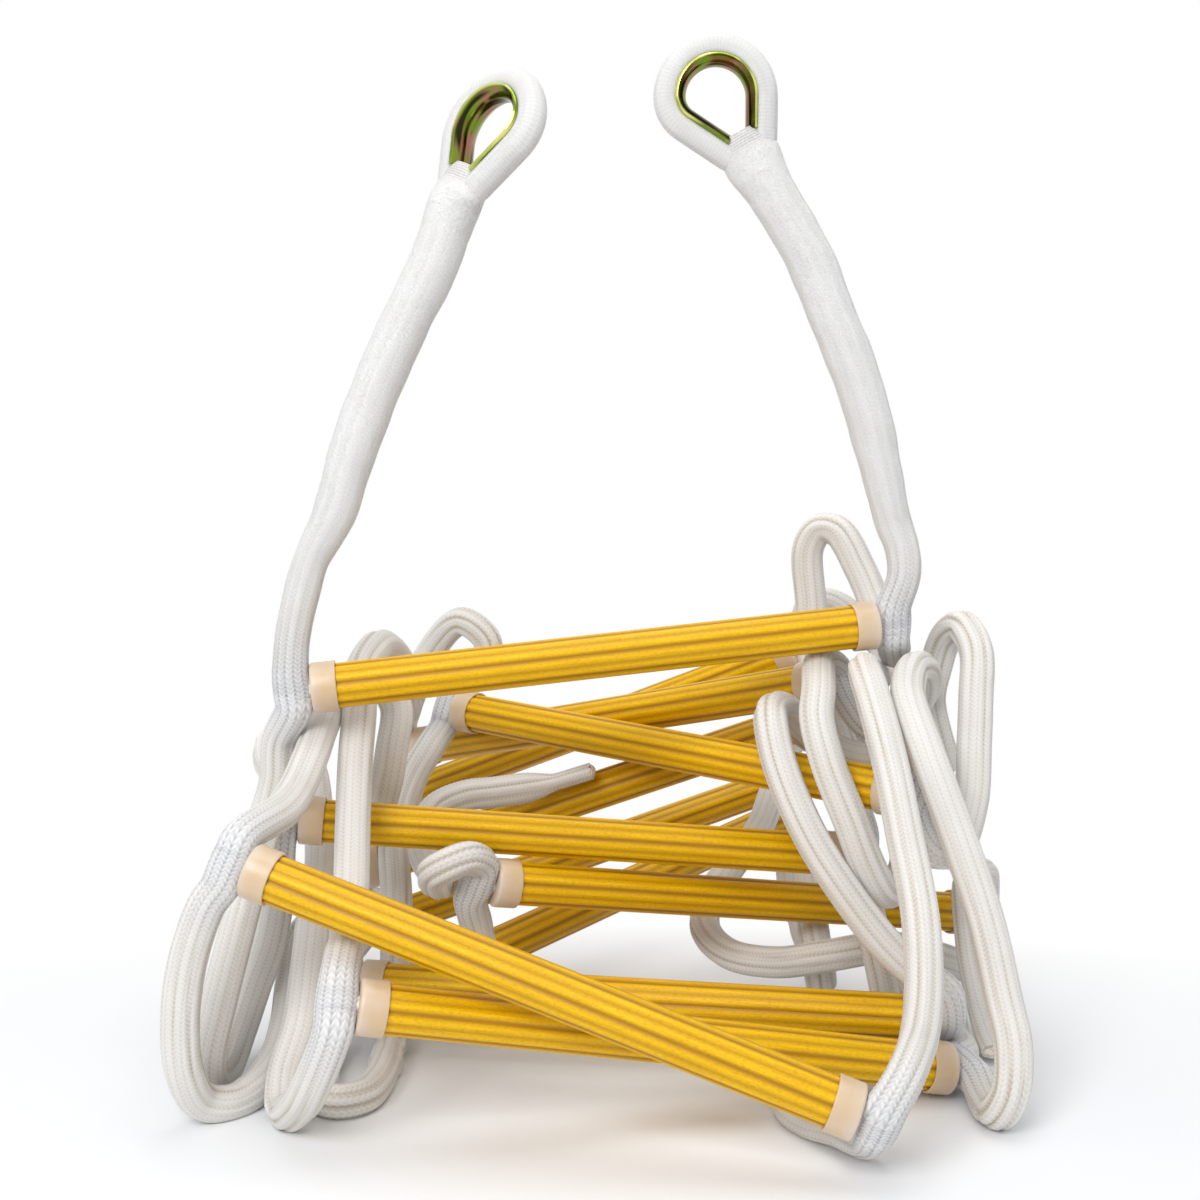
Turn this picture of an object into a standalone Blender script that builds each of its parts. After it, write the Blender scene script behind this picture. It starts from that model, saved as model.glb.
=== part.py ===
"""Emergency escape ladder, let down in a pile with its two eye splices standing up.

Twelve ribbed tubes are the rungs.  Each has a moulded collar on both ends and a short
rope through its bore, which ties it to the two side ropes.  The side ropes run past the
rungs' ends from rung to rung and lie in slack loops between them.  Above the first rung
each side rope thickens into a splice and turns round a steel thimble.

Run it with: blender --background --python part.py
Routes are in millimetres and the model is in metres, +Z up.  The origin is on the
surface that the ladder lies on, under the middle of its box.
"""

import math
from collections import namedtuple

import bmesh
import bpy
import numpy as np
from mathutils import Matrix, Vector

MM = 0.001

# Rungs
RUNG_LENGTH = 320.0 * MM
TUBE_DIAMETER = 25.0 * MM
TUBE_WALL = 2.6 * MM
RIB_COUNT = 12
RIB_DEPTH = 0.5 * MM
COLLAR_WALL = 1.2 * MM
COLLAR_LENGTH = 14.0 * MM
COLLAR_END_WALL = 2.0 * MM
COLLAR_CHAMFER = 0.8 * MM
CORE_DIAMETER = 12.0 * MM

# Side ropes
ROPE_DIAMETER = 18.0 * MM
HOLD_GAP = 1.5 * MM
FLAT_SHARE = 0.1
STRETCHES = (3, 6, 9)

# Eye splices and thimbles
EYE_ROPE_DIAMETER = 16.0 * MM
EYE_RADIUS = 27.0 * MM
EYE_CORNER_RADIUS = 19.5 * MM
EYE_CORNER_FROM = math.radians(149.0)
EYE_HALF_ANGLE = math.radians(28.5)
THIMBLE_WALL = 1.6 * MM
THIMBLE_SPAN = math.radians(62.0)
THIMBLE_DROP = 31.5 * MM
SPLICE_DIAMETER = 26.5 * MM
THROAT_DIAMETER = 30.0 * MM
STEM_DROP = (46.0 * MM, 39.0 * MM, 33.0 * MM, 28.0 * MM)
STEM_SHARE = (1.0, 0.9, 0.64, 0.34)
STRAND_DROP = 32.0 * MM
TAIL_DROP = (38.0 * MM, 44.0 * MM, 50.0 * MM)
TAIL_ACROSS = (7.6 * MM, 6.4 * MM, 6.0 * MM)
TAIL_SHARE = (0.85, 0.65, 0.5)

# Gap between pieces that touch, and how finely a tube follows its smooth curve
CLEARANCE = 0.3 * MM
MAX_STRAY = 0.7 * MM
MAX_TURN = math.radians(36.0)
MIN_STEP = 6.0 * MM
MAX_STEP = 40.0 * MM
DENSE_STEP = 1.5 * MM

# Where the routes' own zero lies in the finished part, and the height there of the
# middle of a rope that lies on the floor
ORIGIN_MM = (10.5, -8.3)
FLOOR_ROPE_MM = 9.0

# The routes were laid for this length of rung.  Longer rungs spread the pile out.
LAID_LENGTH = 320.0 * MM
SPREAD = max(1.0, RUNG_LENGTH / LAID_LENGTH)

# Ends of the rungs as they lie, left then right, in the order of the ladder
RUNG_ENDS = (
    ((-158, -103, 218), (158, -61, 248)),
    ((-172, -73, 137), (145, -41, 107)),
    ((-117, -205, 77), (186, -138, 17)),
    ((-127, 134, 137), (131, -35, 210)),
    ((-143, 196, 88), (135, 86, 214)),
    ((-94, 85, 172), (169, -98, 158)),
    ((-136, -77, 41), (181, -110, 34)),
    ((-173, -182, 138), (120, -233, 37)),
    ((-154, 46, 74), (147, 32, 180)),
    ((-155, 96, 19), (128, 214, 89)),
    ((-98, -24, 28), (139, 177, 77)),
    ((-61, -76, 101), (237, 27, 50)),
)

# A place where a side rope passes a rung's end: the rung, the way that the rope runs
# there, and how far it runs straight to each side
Hold = namedtuple("Hold", "rung way half", defaults=(13.0,))

LEFT_ROUTE = (
    (-169, -103, 236), Hold(1, (-0.1, 0, -1), 9.0),
    (-178, -95, 188), (-180, -94, 165), (-187, -101, 138), (-194, -117, 103), (-203, -142, 56),
    (-208, -150, 29), (-209, -141, 12), (-206, -123, 10), (-201, -107, 27), (-195, -97, 47),
    (-189, -86, 66), (-185, -77, 92),
    Hold(2, (-0.05, 0.3, 1)),
    (-188, -58, 159), (-197, -37, 164), (-199, -15, 170), (-190, 1, 166), (-181, 5, 150),
    (-173, -14, 127), (-165, -48, 105), (-162, -91, 83), (-160, -119, 64), (-160, -142, 42),
    (-165, -159, 20), (-162, -176, 10), (-151, -192, 21), (-139, -210, 44),
    Hold(3, (0, 0.6, 0.8)),
    (-129, -182, 97), (-131, -160, 100), (-133, -136, 112), (-136, -109, 140), (-137, -89, 175),
    (-137, -72, 200), (-138, -56, 221), (-131, -35, 232), (-125, 1, 219), (-127, 53, 192),
    (-133, 104, 169), (-143, 128, 159),
    Hold(4, (0, 0.1, -1)),
    (-143, 152, 84), (-160, 160, 52), (-185, 166, 34), (-214, 180, 24), (-228, 200, 13),
    (-216, 218, 9), (-190, 222, 10), (-163, 213, 32),
    Hold(5, (0, 0, 1)),
    (-158, 196, 113), (-149, 181, 135), (-135, 152, 171), (-118, 122, 207), (-95, 106, 230),
    (-77, 100, 217), (-81, 105, 197),
    Hold(6, (0, -0.5, -0.87)),
    (-113, 69, 150), (-124, 55, 131), (-130, 38, 112), (-131, 16, 98), (-126, -12, 76),
    (-122, -40, 55), (-121, -53, 36), (-120, -66, 18), (-120, -88, 9), (-119, -115, 9),
    (-120, -140, 9), (-125, -157, 9), (-137, -163, 9), (-149, -155, 9), (-151, -130, 9),
    (-152, -98, 12),
    Hold(7, (0, 0, 1)),
    (-150, -65, 69), (-162, -59, 73), (-174, -63, 65), (-176, -84, 45), (-174, -110, 30),
    (-176, -130, 18), (-183, -150, 11), (-194, -164, 9), (-206, -173, 15), (-211, -182, 34),
    (-211, -187, 63), (-206, -188, 95), (-196, -187, 123),
    Hold(8, (0.3, 0.35, 0.87)),
    (-166, -148, 161), (-162, -128, 168), (-158, -110, 181), (-157, -84, 192), (-155, -57, 201),
    (-145, -39, 209), (-132, -23, 207), (-123, -22, 194), (-125, -29, 168), (-129, -28, 147),
    (-140, -8, 120), (-158, 14, 108), (-170, 33, 97),
    Hold(9, (0, 0.3, -1)),
    (-175, 62, 35), (-190, 88, 11), (-200, 120, 9), (-201, 158, 9), (-194, 179, 9),
    (-178, 187, 9), (-163, 180, 9), (-160, 158, 9), (-168, 130, 10),
    Hold(10, (0, -1, 0)),
    (-173, 55, 9), (-186, 30, 9), (-188, 2, 9), (-176, -14, 9), (-155, -13, 9), (-138, 0, 12),
    (-125, -3, 21),
    Hold(11, (0.64, -0.754, 0)),
    (-82, -54, 15), (-52, -58, 9), (-15, -52, 9), (12, -38, 9), (10, -18, 9), (-15, -12, 9),
    (-42, -22, 12), (-60, -38, 28), (-70, -52, 52), (-73, -62, 74),
    Hold(12, (0, -0.5, 0.87)),
    (-74, -96, 121), (-83, -100, 119), (-92, -96, 113), (-94, -68, 97), (-98, -45, 96),
    (-106, -25, 101), (-109, -7, 113), (-102, 6, 124), (-86, 13, 130), (-64, 17, 132),
    (-35, 20, 136), (-5, 20, 145),
)

RIGHT_ROUTE = (
    (172, -61, 268), Hold(1, (0, 0.3, -1), 9.0),
    (174, -38, 229), (176, -21, 233), (170, -2, 250), (161, 10, 274), (148, 18, 297),
    (138, 24, 298), (131, 27, 286), (133, 25, 250), (134, 16, 216), (142, 4, 186), (151, -8, 160),
    (154, -24, 134),
    Hold(2, (0, 0, -1)),
    (158, -55, 76), (164, -66, 49), (170, -58, 26), (177, -36, 11), (181, -12, 9), (190, 6, 9),
    (205, 10, 9), (216, -6, 9), (213, -38, 9), (207, -72, 9), (205, -100, 9),
    Hold(3, (0.21, -0.97, 0)),
    (202, -166, 10), (203, -180, 11), (208, -186, 25), (211, -178, 44), (209, -163, 66),
    (203, -147, 102), (190, -130, 146), (177, -113, 186), (172, -88, 212), (178, -70, 223),
    (188, -52, 220), (190, -42, 206), (178, -38, 190), (160, -36, 186),
    Hold(4, (0, -0.5, 0.87), 9.0),
    (128, -55, 225), (123, -80, 211), (121, -89, 198), (126, -97, 176), (131, -100, 162),
    (138, -103, 145), (147, -103, 122), (158, -95, 103), (170, -75, 97), (180, -50, 102),
    (190, -20, 118), (190, 20, 140), (182, 54, 169), (162, 70, 192),
    Hold(5, (0, 0.3, 0.95)),
    (142, 98, 240), (155, 98, 244), (172, 84, 234), (188, 55, 215), (203, 22, 183),
    (210, -3, 159), (209, -19, 159), (203, -26, 174), (199, -20, 197), (202, -20, 216),
    (207, -25, 236), (213, -39, 244), (217, -58, 232), (214, -72, 208), (211, -83, 185),
    (207, -94, 152), (194, -110, 130), (181, -115, 131),
    Hold(6, (0.35, 0.5, 0.79)),
    (184, -80, 176), (176, -60, 172), (160, -45, 166), (145, -38, 168), (124, -38, 180),
    (108, -54, 197), (97, -76, 199), (100, -89, 175), (115, -101, 138), (135, -109, 106),
    (157, -114, 78), (174, -118, 63), (188, -125, 54),
    Hold(7, (0, 0.8, -0.6)),
    (185, -85, 15), (171, -70, 9), (148, -60, 9), (125, -66, 9), (112, -90, 9), (102, -120, 9),
    (97, -150, 9), (99, -170, 9), (108, -186, 9), (119, -200, 12), (129, -216, 14),
    Hold(8, (0.3, -0.45, 0.84), 9.0),
    (143, -235, 53), (155, -212, 64), (161, -194, 80), (163, -174, 111), (160, -147, 145),
    (156, -120, 182), (151, -97, 211), (149, -79, 224), (154, -58, 220), (162, -38, 213),
    (166, -10, 205), (163, 8, 197),
    Hold(9, (0, 0.85, -0.5)),
    (166, 60, 152), (175, 90, 128), (184, 125, 118), (188, 165, 125), (178, 200, 135),
    (155, 220, 128),
    Hold(10, (0, 0, -1)),
    (145, 216, 32), (145, 195, 11), (144, 150, 9), (143, 90, 9), (142, 28, 9), (140, 4, 12),
    (137, -7, 27), (135, 4, 45), (137, 40, 55), (143, 100, 58), (150, 145, 50), (153, 173, 50),
    Hold(11, (0, 0, 1)),
    (146, 181, 108), (138, 163, 115), (125, 138, 106), (111, 105, 86), (90, 75, 68), (72, 48, 53),
    (68, 25, 40), (80, 2, 32), (108, -18, 33), (139, -37, 44), (166, -38, 49), (186, -26, 44),
    (211, -14, 34), (234, 2, 23), (248, 20, 25),
    Hold(12, (0, 0, 1), 9.0),
    (247, 27, 75), (232, 5, 78), (226, -26, 55), (225, -54, 31), (226, -80, 13), (226, -98, 9),
)

# An eye splice: where it swings, the middle of its eye, the way that the eye faces, and
# the route of its leg up to the throat as x, y, z and share of SPLICE_DIAMETER
Splice = namedtuple("Splice", "side swing eye facing leg")

SPLICES = (
    Splice(
        "left", (-168.1, -102.1, 245.1), (-59.4, -75.6, 522), (-0.71, -0.71, 0.0),
        ((-164, -100, 266, 0.7), (-158, -96, 288, 0.73), (-146, -93, 312, 0.87),
         (-136, -90, 345, 0.97), (-123, -87, 380, 1.0), (-107, -84, 416, 1.0),
         (-91, -82, 448, 1.02)),
    ),
    Splice(
        "right", (173.8, -61, 277), (67, -44, 546.5), (0.0, -1.0, 0.0),
        ((173, -57, 292, 0.71), (168, -53, 308, 0.76), (162, -52, 333, 0.87),
         (154, -51, 365, 0.97), (145, -50, 393, 1.0), (132, -49, 424, 1.0),
         (118, -47, 458, 1.02)),
    ),
)
THROAT_WAY = {"left": (-0.44, -0.04, -0.90), "right": (0.477, -0.02, -0.879)}


def clear_scene():
    """Take every object out of the open file."""
    for item in list(bpy.data.objects):
        bpy.data.objects.remove(item, do_unlink=True)


def make_material(name, colour, roughness, metallic=0.0):
    """Principled material of one colour."""
    material = bpy.data.materials.new(name)
    material.use_nodes = True
    shader = material.node_tree.nodes["Principled BSDF"]
    shader.inputs["Base Color"].default_value = (*colour, 1.0)
    shader.inputs["Roughness"].default_value = roughness
    shader.inputs["Metallic"].default_value = metallic
    return material


def to_part(point):
    """Route point in millimetres as a place in the part, in metres."""
    lowest = (0.5 - FLAT_SHARE) * ROPE_DIAMETER
    x, y, z = point[0] - ORIGIN_MM[0], point[1] - ORIGIN_MM[1], point[2] - FLOOR_ROPE_MM
    return Vector((x, y, z)) * MM * SPREAD + Vector((0, 0, lowest))


def add_object(name, mesh, material, parent=None):
    """Link a mesh object with its material, smooth between its sharp edges."""
    mesh.materials.clear()
    mesh.materials.append(material)
    mesh.shade_smooth()
    mesh.set_sharp_from_angle(angle=math.radians(35.0))
    item = bpy.data.objects.new(name, mesh)
    item.parent = parent
    bpy.context.scene.collection.objects.link(item)
    return item


def turned_mesh(name, profile, count, phase=0.0):
    """Ring turned about X from a closed profile of (x, radius) points.

    radius may be a function of the step round, which is how ribs are cut.
    """
    shape = bmesh.new()
    rings = []
    for x, radius in profile:
        ring = []
        for step in range(count):
            angle = phase + math.tau * step / count
            size = radius(step) if callable(radius) else radius
            ring.append(shape.verts.new((x, size * math.cos(angle), size * math.sin(angle))))
        rings.append(ring)
    for here, there in zip(rings, rings[1:] + rings[:1]):
        for step in range(count):
            following = (step + 1) % count
            shape.faces.new((here[step], here[following], there[following], there[step]))
    bmesh.ops.recalc_face_normals(shape, faces=shape.faces)
    mesh = bpy.data.meshes.new(name)
    shape.to_mesh(mesh)
    shape.free()
    return mesh


def tube_mesh():
    """Rung tube with ribs along its outside and a plain bore."""
    half = RUNG_LENGTH / 2 - COLLAR_END_WALL - CLEARANCE
    crest = TUBE_DIAMETER / 2
    bore = crest - TUBE_WALL

    def ribbed(step):
        return crest if step % 2 == 0 else crest - RIB_DEPTH

    return turned_mesh("rung_tube", ((-half, bore), (-half, ribbed), (half, ribbed), (half, bore)), 2 * RIB_COUNT)


def collar_mesh():
    """Cup-shaped collar with its closed end at x = 0 and a hole for the core."""
    inner = TUBE_DIAMETER / 2 + CLEARANCE
    outer = inner + COLLAR_WALL
    hole = CORE_DIAMETER / 2 + CLEARANCE
    profile = (
        (0.0, hole), (0.0, outer - COLLAR_CHAMFER), (COLLAR_CHAMFER, outer), (COLLAR_LENGTH, outer),
        (COLLAR_LENGTH, inner), (COLLAR_END_WALL, inner), (COLLAR_END_WALL, hole),
    )
    return turned_mesh("end_collar", profile, RIB_COUNT)


def core_mesh():
    """Rope through a rung, long enough to meet both side ropes."""
    reach = RUNG_LENGTH + 2 * (HOLD_GAP - CLEARANCE)
    shape = bmesh.new()
    bmesh.ops.create_cone(
        shape, cap_ends=True, segments=8, radius1=CORE_DIAMETER / 2, radius2=CORE_DIAMETER / 2,
        depth=reach, matrix=Matrix.Rotation(math.pi / 2, 4, "Y"),
    )
    mesh = bpy.data.meshes.new("rung_core")
    shape.to_mesh(mesh)
    shape.free()
    return mesh


class Rung:
    """Where one rung lies: its middle, its axis and its two ends."""

    def __init__(self, number, left, right):
        self.number = number
        low, high = to_part(left), to_part(right)
        self.middle = (low + high) / 2
        self.axis = (high - low).normalized()

    def end(self, side):
        """Centre of the collar's outer face on one side."""
        return self.middle + self.axis * RUNG_LENGTH / 2 * (-1 if side == "left" else 1)

    def hold(self, side, way):
        """Middle of the side rope beside this end, and its direction square to the rung."""
        outward = -self.axis if side == "left" else self.axis
        centre = self.end(side) + outward * (ROPE_DIAMETER / 2 + HOLD_GAP)
        direction = Vector(way)
        direction -= self.axis * direction.dot(self.axis)
        return centre, direction.normalized()


def build_rung(rung, meshes, finishes):
    """Tube, two collars and core of one rung under an empty at its middle."""
    name = f"rung_{rung.number:02d}"
    frame = bpy.data.objects.new(name, None)
    bpy.context.scene.collection.objects.link(frame)
    side = rung.axis.cross(Vector((0, 0, 1))).normalized()
    rise = side.cross(rung.axis)
    frame.matrix_world = Matrix.Translation(rung.middle) @ Matrix((rung.axis, -side, rise)).transposed().to_4x4()
    add_object(f"{name}_tube", meshes["tube"], finishes["tube"], frame)
    add_object(f"{name}_core", meshes["core"], finishes["core"], frame)
    for label, turn in (("left", 0.0), ("right", math.pi)):
        collar = add_object(f"{name}_{label}_collar", meshes["collar"], finishes["collar"], frame)
        collar.location = (-RUNG_LENGTH / 2 if label == "left" else RUNG_LENGTH / 2, 0.0, 0.0)
        collar.rotation_euler = (0.0, 0.0, turn)


def smooth_path(points):
    """Dense samples of a centripetal Catmull-Rom curve through the points.

    Returns the samples and the index of the sample at each point.
    """
    places = [np.array(point, dtype=float) for point in points]
    ends = [2 * places[0] - places[1]], [2 * places[-1] - places[-2]]
    chain = ends[0] + places + ends[1]
    samples, marks = [], []
    for index in range(1, len(chain) - 2):
        quad = chain[index - 1:index + 3]
        knots = [0.0]
        for one, two in zip(quad, quad[1:]):
            knots.append(knots[-1] + math.sqrt(np.linalg.norm(two - one)))
        count = max(2, round(np.linalg.norm(quad[2] - quad[1]) / DENSE_STEP))
        marks.append(len(samples))
        for step in range(count):
            at = knots[1] + (knots[2] - knots[1]) * step / count
            level = list(quad)
            for order in (1, 2, 3):
                level = [
                    ((knots[k + order] - at) * level[k] + (at - knots[k]) * level[k + 1]) / (knots[k + order] - knots[k])
                    if order < 3
                    else ((knots[2] - at) * level[0] + (at - knots[1]) * level[1]) / (knots[2] - knots[1])
                    for k in range(len(level) - 1)
                ]
            samples.append(level[0])
    marks.append(len(samples))
    samples.append(places[-1])
    return np.array(samples), marks


def thin_path(samples, needed):
    """Samples that are kept for a tube, so that no straight run strays from the curve.

    The needed ones are kept, and the second from each end, so that the end faces stand
    square.
    """
    last = len(samples) - 1
    kept = [0, 2]
    for index in range(4, last - 2):
        start = samples[kept[-1]]
        run = samples[index] - start
        between = samples[kept[-1] + 1:index] - start
        along = between @ run / (run @ run)
        stray = np.linalg.norm(between - np.outer(along, run), axis=1).max()
        first = samples[kept[-1] + 1] - start
        step = samples[index] - samples[index - 1]
        cosine = first @ step / np.linalg.norm(first) / np.linalg.norm(step)
        bent = stray > MAX_STRAY or cosine < math.cos(MAX_TURN)
        if bent or index - 1 in needed or np.linalg.norm(run) > MAX_STEP:
            if index - 1 in needed and len(kept) > 2 and np.linalg.norm(run) < MIN_STEP:
                kept.pop()
            kept.append(index - 1)
    return samples[kept + [last - 2, last]]


def curve_tube(name, points, diameters, sides):
    """Closed mesh tube along points, with a diameter at each."""
    data = bpy.data.curves.new(name, "CURVE")
    data.dimensions = "3D"
    data.bevel_depth = 0.5
    data.bevel_resolution = sides // 2 - 2
    data.use_fill_caps = True
    spline = data.splines.new("POLY")
    spline.points.add(len(points) - 1)
    for knot, place, diameter in zip(spline.points, points, diameters):
        knot.co = (*place, 1.0)
        knot.radius = diameter
    guide = bpy.data.objects.new(name, data)
    mesh = bpy.data.meshes.new_from_object(guide)
    bpy.data.objects.remove(guide)
    bpy.data.curves.remove(data)
    shape = bmesh.new()
    shape.from_mesh(mesh)
    bmesh.ops.remove_doubles(shape, verts=shape.verts, dist=1e-7)
    bmesh.ops.recalc_face_normals(shape, faces=shape.faces)
    shape.to_mesh(mesh)
    shape.free()
    return mesh


def cut_on_floor(mesh):
    """Cut off what lies under the surface that the ladder rests on."""
    shape = bmesh.new()
    shape.from_mesh(mesh)
    everything = shape.verts[:] + shape.edges[:] + shape.faces[:]
    bmesh.ops.bisect_plane(shape, geom=everything, plane_co=(0, 0, 0), plane_no=(0, 0, 1), clear_inner=True)
    rims = [edge for edge in shape.edges if edge.is_boundary]
    if rims:
        bmesh.ops.holes_fill(shape, edges=rims, sides=0)
    bmesh.ops.recalc_face_normals(shape, faces=shape.faces)
    shape.to_mesh(mesh)
    shape.free()


def side_route(side, route, rungs):
    """Smooth samples of a whole side rope, and where each hold begins, is and ends."""
    points, holds = [], {}
    for stop in route:
        if isinstance(stop, Hold):
            centre, way = rungs[stop.rung - 1].hold(side, stop.way)
            holds[stop.rung] = len(points) + 2
            points += [centre + way * step * MM * SPREAD for step in (-stop.half, -4.0, 0.0, 4.0, stop.half)]
        else:
            points.append(to_part(stop))
    samples, marks = smooth_path(points)
    return samples, {rung: [marks[index + step] for step in (-2, 0, 2)] for rung, index in holds.items()}


def build_side_rope(side, route, rungs, finish):
    """Side rope in stretches that meet at some of the rungs."""
    samples, holds = side_route(side, route, rungs)
    cuts = [0] + [holds[rung][1] for rung in STRETCHES] + [len(samples) - 1]
    total = np.linalg.norm(np.diff(samples, axis=0), axis=1).sum()
    spacing = [
        np.linalg.norm(np.diff(samples[holds[rung][1]:holds[rung + 1][1] + 1], axis=0), axis=1).sum()
        for rung in range(1, len(RUNG_ENDS))
    ]
    print(f"{side} side rope {total:.3f} m, between rungs {min(spacing):.3f} to {max(spacing):.3f} m")
    for number, (start, stop) in enumerate(zip(cuts, cuts[1:]), 1):
        needed = {index - start for hold in holds.values() for index in hold}
        points = thin_path(samples[start:stop + 1], needed)
        for tip, inner in ((0, 1), (-1, -2)):
            inward = points[inner] - points[tip]
            points[tip] += inward / np.linalg.norm(inward) * CLEARANCE / 2
        mesh = curve_tube(f"{side}_side_rope_{number}", points, [ROPE_DIAMETER] * len(points), 8)
        cut_on_floor(mesh)
        add_object(mesh.name, mesh, finish)


def eye_path(side, drop_far):
    """Rope's middle round an eye in the eye's own plane, from side to side.

    Each point is (across, up): a wide arc over the top, a tighter one at one
    lower corner, and a straight run down each side to drop_far below.  The two runs would meet straight below the zero point.
    """
    tighter = EYE_RADIUS - EYE_CORNER_RADIUS
    nearer = tighter * (1.0 - math.cos(math.pi + EYE_HALF_ANGLE - EYE_CORNER_FROM))
    shift = nearer / (2.0 * math.cos(EYE_HALF_ANGLE))
    apex = (2.0 * EYE_RADIUS - nearer) / (2.0 * math.sin(EYE_HALF_ANGLE))
    corner = (tighter * math.cos(EYE_CORNER_FROM) - shift, tighter * math.sin(EYE_CORNER_FROM))
    arc = [
        (EYE_RADIUS * math.cos(angle) - shift, EYE_RADIUS * math.sin(angle))
        for angle in np.linspace(-EYE_HALF_ANGLE, EYE_CORNER_FROM, 11)
    ] + [
        (corner[0] + EYE_CORNER_RADIUS * math.cos(angle), corner[1] + EYE_CORNER_RADIUS * math.sin(angle))
        for angle in np.linspace(EYE_CORNER_FROM, math.pi + EYE_HALF_ANGLE, 5)[1:]
    ]
    foot = (apex - drop_far) * math.tan(EYE_HALF_ANGLE)
    path = [(foot, -drop_far)] + arc + [(-foot, -drop_far)]
    return path if side == "right" else [(-x, y) for x, y in reversed(path)]


def eye_frame(splice):
    """Axes of an eye: across, up and the way it faces, with its centre."""
    up = -Vector(THROAT_WAY[splice.side]).normalized()
    facing = Vector(splice.facing)
    facing = (facing - up * facing.dot(up)).normalized()
    across = up.cross(facing)
    return Matrix.Translation(to_part(splice.eye)) @ Matrix((across, up, facing)).transposed().to_4x4()


def build_splice(splice, finish):
    """Leg that swings above the first rung, doubled round the eye."""
    frame = eye_frame(splice)
    swing = to_part(splice.swing)
    first = to_part(splice.leg[0])
    down = (swing - first).normalized()
    round_end = [
        (swing + down * math.sin(angle) * ROPE_DIAMETER / 2, ROPE_DIAMETER * math.cos(angle))
        for angle in map(math.radians, (80, 60, 38, 16))
    ]
    leg = [(to_part(stop), stop[3] * SPLICE_DIAMETER) for stop in splice.leg]
    top = [(frame @ Vector((0, -drop, 0)), share * THROAT_DIAMETER) for drop, share in zip(STEM_DROP, STEM_SHARE)]
    spine = round_end + [(swing, ROPE_DIAMETER)] + leg + top
    stem_mesh = curve_tube(f"{splice.side}_eye_splice", [p for p, _ in spine], [d for _, d in spine], 10)

    loop = eye_path(splice.side, STRAND_DROP)
    tails = [(x, y, share * EYE_ROPE_DIAMETER) for x, y, share in zip(TAIL_ACROSS, TAIL_DROP, TAIL_SHARE)]
    right = [(Vector((across, -drop, 0)), size) for across, drop, size in reversed(tails)]
    left = [(Vector((-across, -drop, 0)), size) for across, drop, size in tails]
    strand = right + [(Vector((x, y, 0)), EYE_ROPE_DIAMETER) for x, y in loop] + left
    loop_mesh = curve_tube(f"{splice.side}_eye_strand", [frame @ p for p, _ in strand], [d for _, d in strand], 10)

    stem = add_object(stem_mesh.name, stem_mesh, finish)
    guide = add_object(loop_mesh.name, loop_mesh, finish)
    guide.hide_render = True
    guide.display_type = "WIRE"
    join = stem.modifiers.new("eye", "BOOLEAN")
    join.operation = "UNION"
    join.object = guide


def build_thimble(splice, finish):
    """Steel channel pressed round the inside of an eye."""
    frame = eye_frame(splice)
    path = [Vector((x, y, 0)) for x, y in eye_path(splice.side, THIMBLE_DROP)]
    groove = EYE_ROPE_DIAMETER / 2 + 2 * CLEARANCE
    steps = 6
    angles = [-THIMBLE_SPAN + 2 * THIMBLE_SPAN * step / steps for step in range(steps + 1)]
    section = [(groove, angle) for angle in angles] + [(groove + THIMBLE_WALL, angle) for angle in reversed(angles)]
    shape = bmesh.new()
    rings = []
    for index, place in enumerate(path):
        before = path[max(index - 1, 0)]
        after = path[min(index + 1, len(path) - 1)]
        along = (after - before).normalized()
        inward = Vector((-along.y, along.x, 0))
        halfway = 1.0
        if 0 < index < len(path) - 1:
            halfway = math.cos((place - before).angle(after - place) / 2)
        ring = [
            shape.verts.new(
                frame @ (place + inward * radius * math.cos(angle) / halfway
                         + Vector((0, 0, radius * math.sin(angle))))
            )
            for radius, angle in section
        ]
        rings.append(ring)
    size = len(section)
    for here, there in zip(rings, rings[1:]):
        for step in range(size):
            following = (step + 1) % size
            shape.faces.new((here[step], here[following], there[following], there[step]))
    shape.faces.new(rings[0])
    shape.faces.new(reversed(rings[-1]))
    bmesh.ops.recalc_face_normals(shape, faces=shape.faces)
    mesh = bpy.data.meshes.new(f"{splice.side}_thimble")
    shape.to_mesh(mesh)
    shape.free()
    add_object(mesh.name, mesh, finish)


def main():
    """Build the whole ladder."""
    clear_scene()
    finishes = {
        "tube": make_material("yellow_rung", (0.90, 0.53, 0.02), 0.38),
        "collar": make_material("clear_collar", (0.86, 0.70, 0.50), 0.3),
        "core": make_material("core_rope", (0.80, 0.79, 0.76), 0.8),
        "rope": make_material("white_rope", (0.82, 0.82, 0.80), 0.7),
        "steel": make_material("zinc_steel", (0.62, 0.66, 0.20), 0.25, 1.0),
    }
    meshes = {"tube": tube_mesh(), "collar": collar_mesh(), "core": core_mesh()}
    rungs = [Rung(number, *ends) for number, ends in enumerate(RUNG_ENDS, 1)]
    for rung in rungs:
        build_rung(rung, meshes, finishes)
    build_side_rope("left", LEFT_ROUTE, rungs, finishes["rope"])
    build_side_rope("right", RIGHT_ROUTE, rungs, finishes["rope"])
    for splice in SPLICES:
        build_splice(splice, finishes["rope"])
        build_thimble(splice, finishes["steel"])


main()
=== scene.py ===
"""Dressed model of the emergency escape ladder, let down in a pile.

Twelve ribbed rungs with moulded collars hang between two braided side ropes, which lie in
slack loops on the floor and over each other.  Above the first rung each rope thickens into
a splice, which is whipped at its throat and turns round a plated steel thimble.

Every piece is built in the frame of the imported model, in metres, with +Z up.  Routes are
written in the route's own millimetres and brought into that frame by ``Layout``.
"""

from __future__ import annotations

import logging
import math
from dataclasses import dataclass, field
from enum import Enum
from typing import NamedTuple, Sequence, Union

import bmesh
import bpy
import numpy as np
from mathutils import Matrix, Vector

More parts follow.
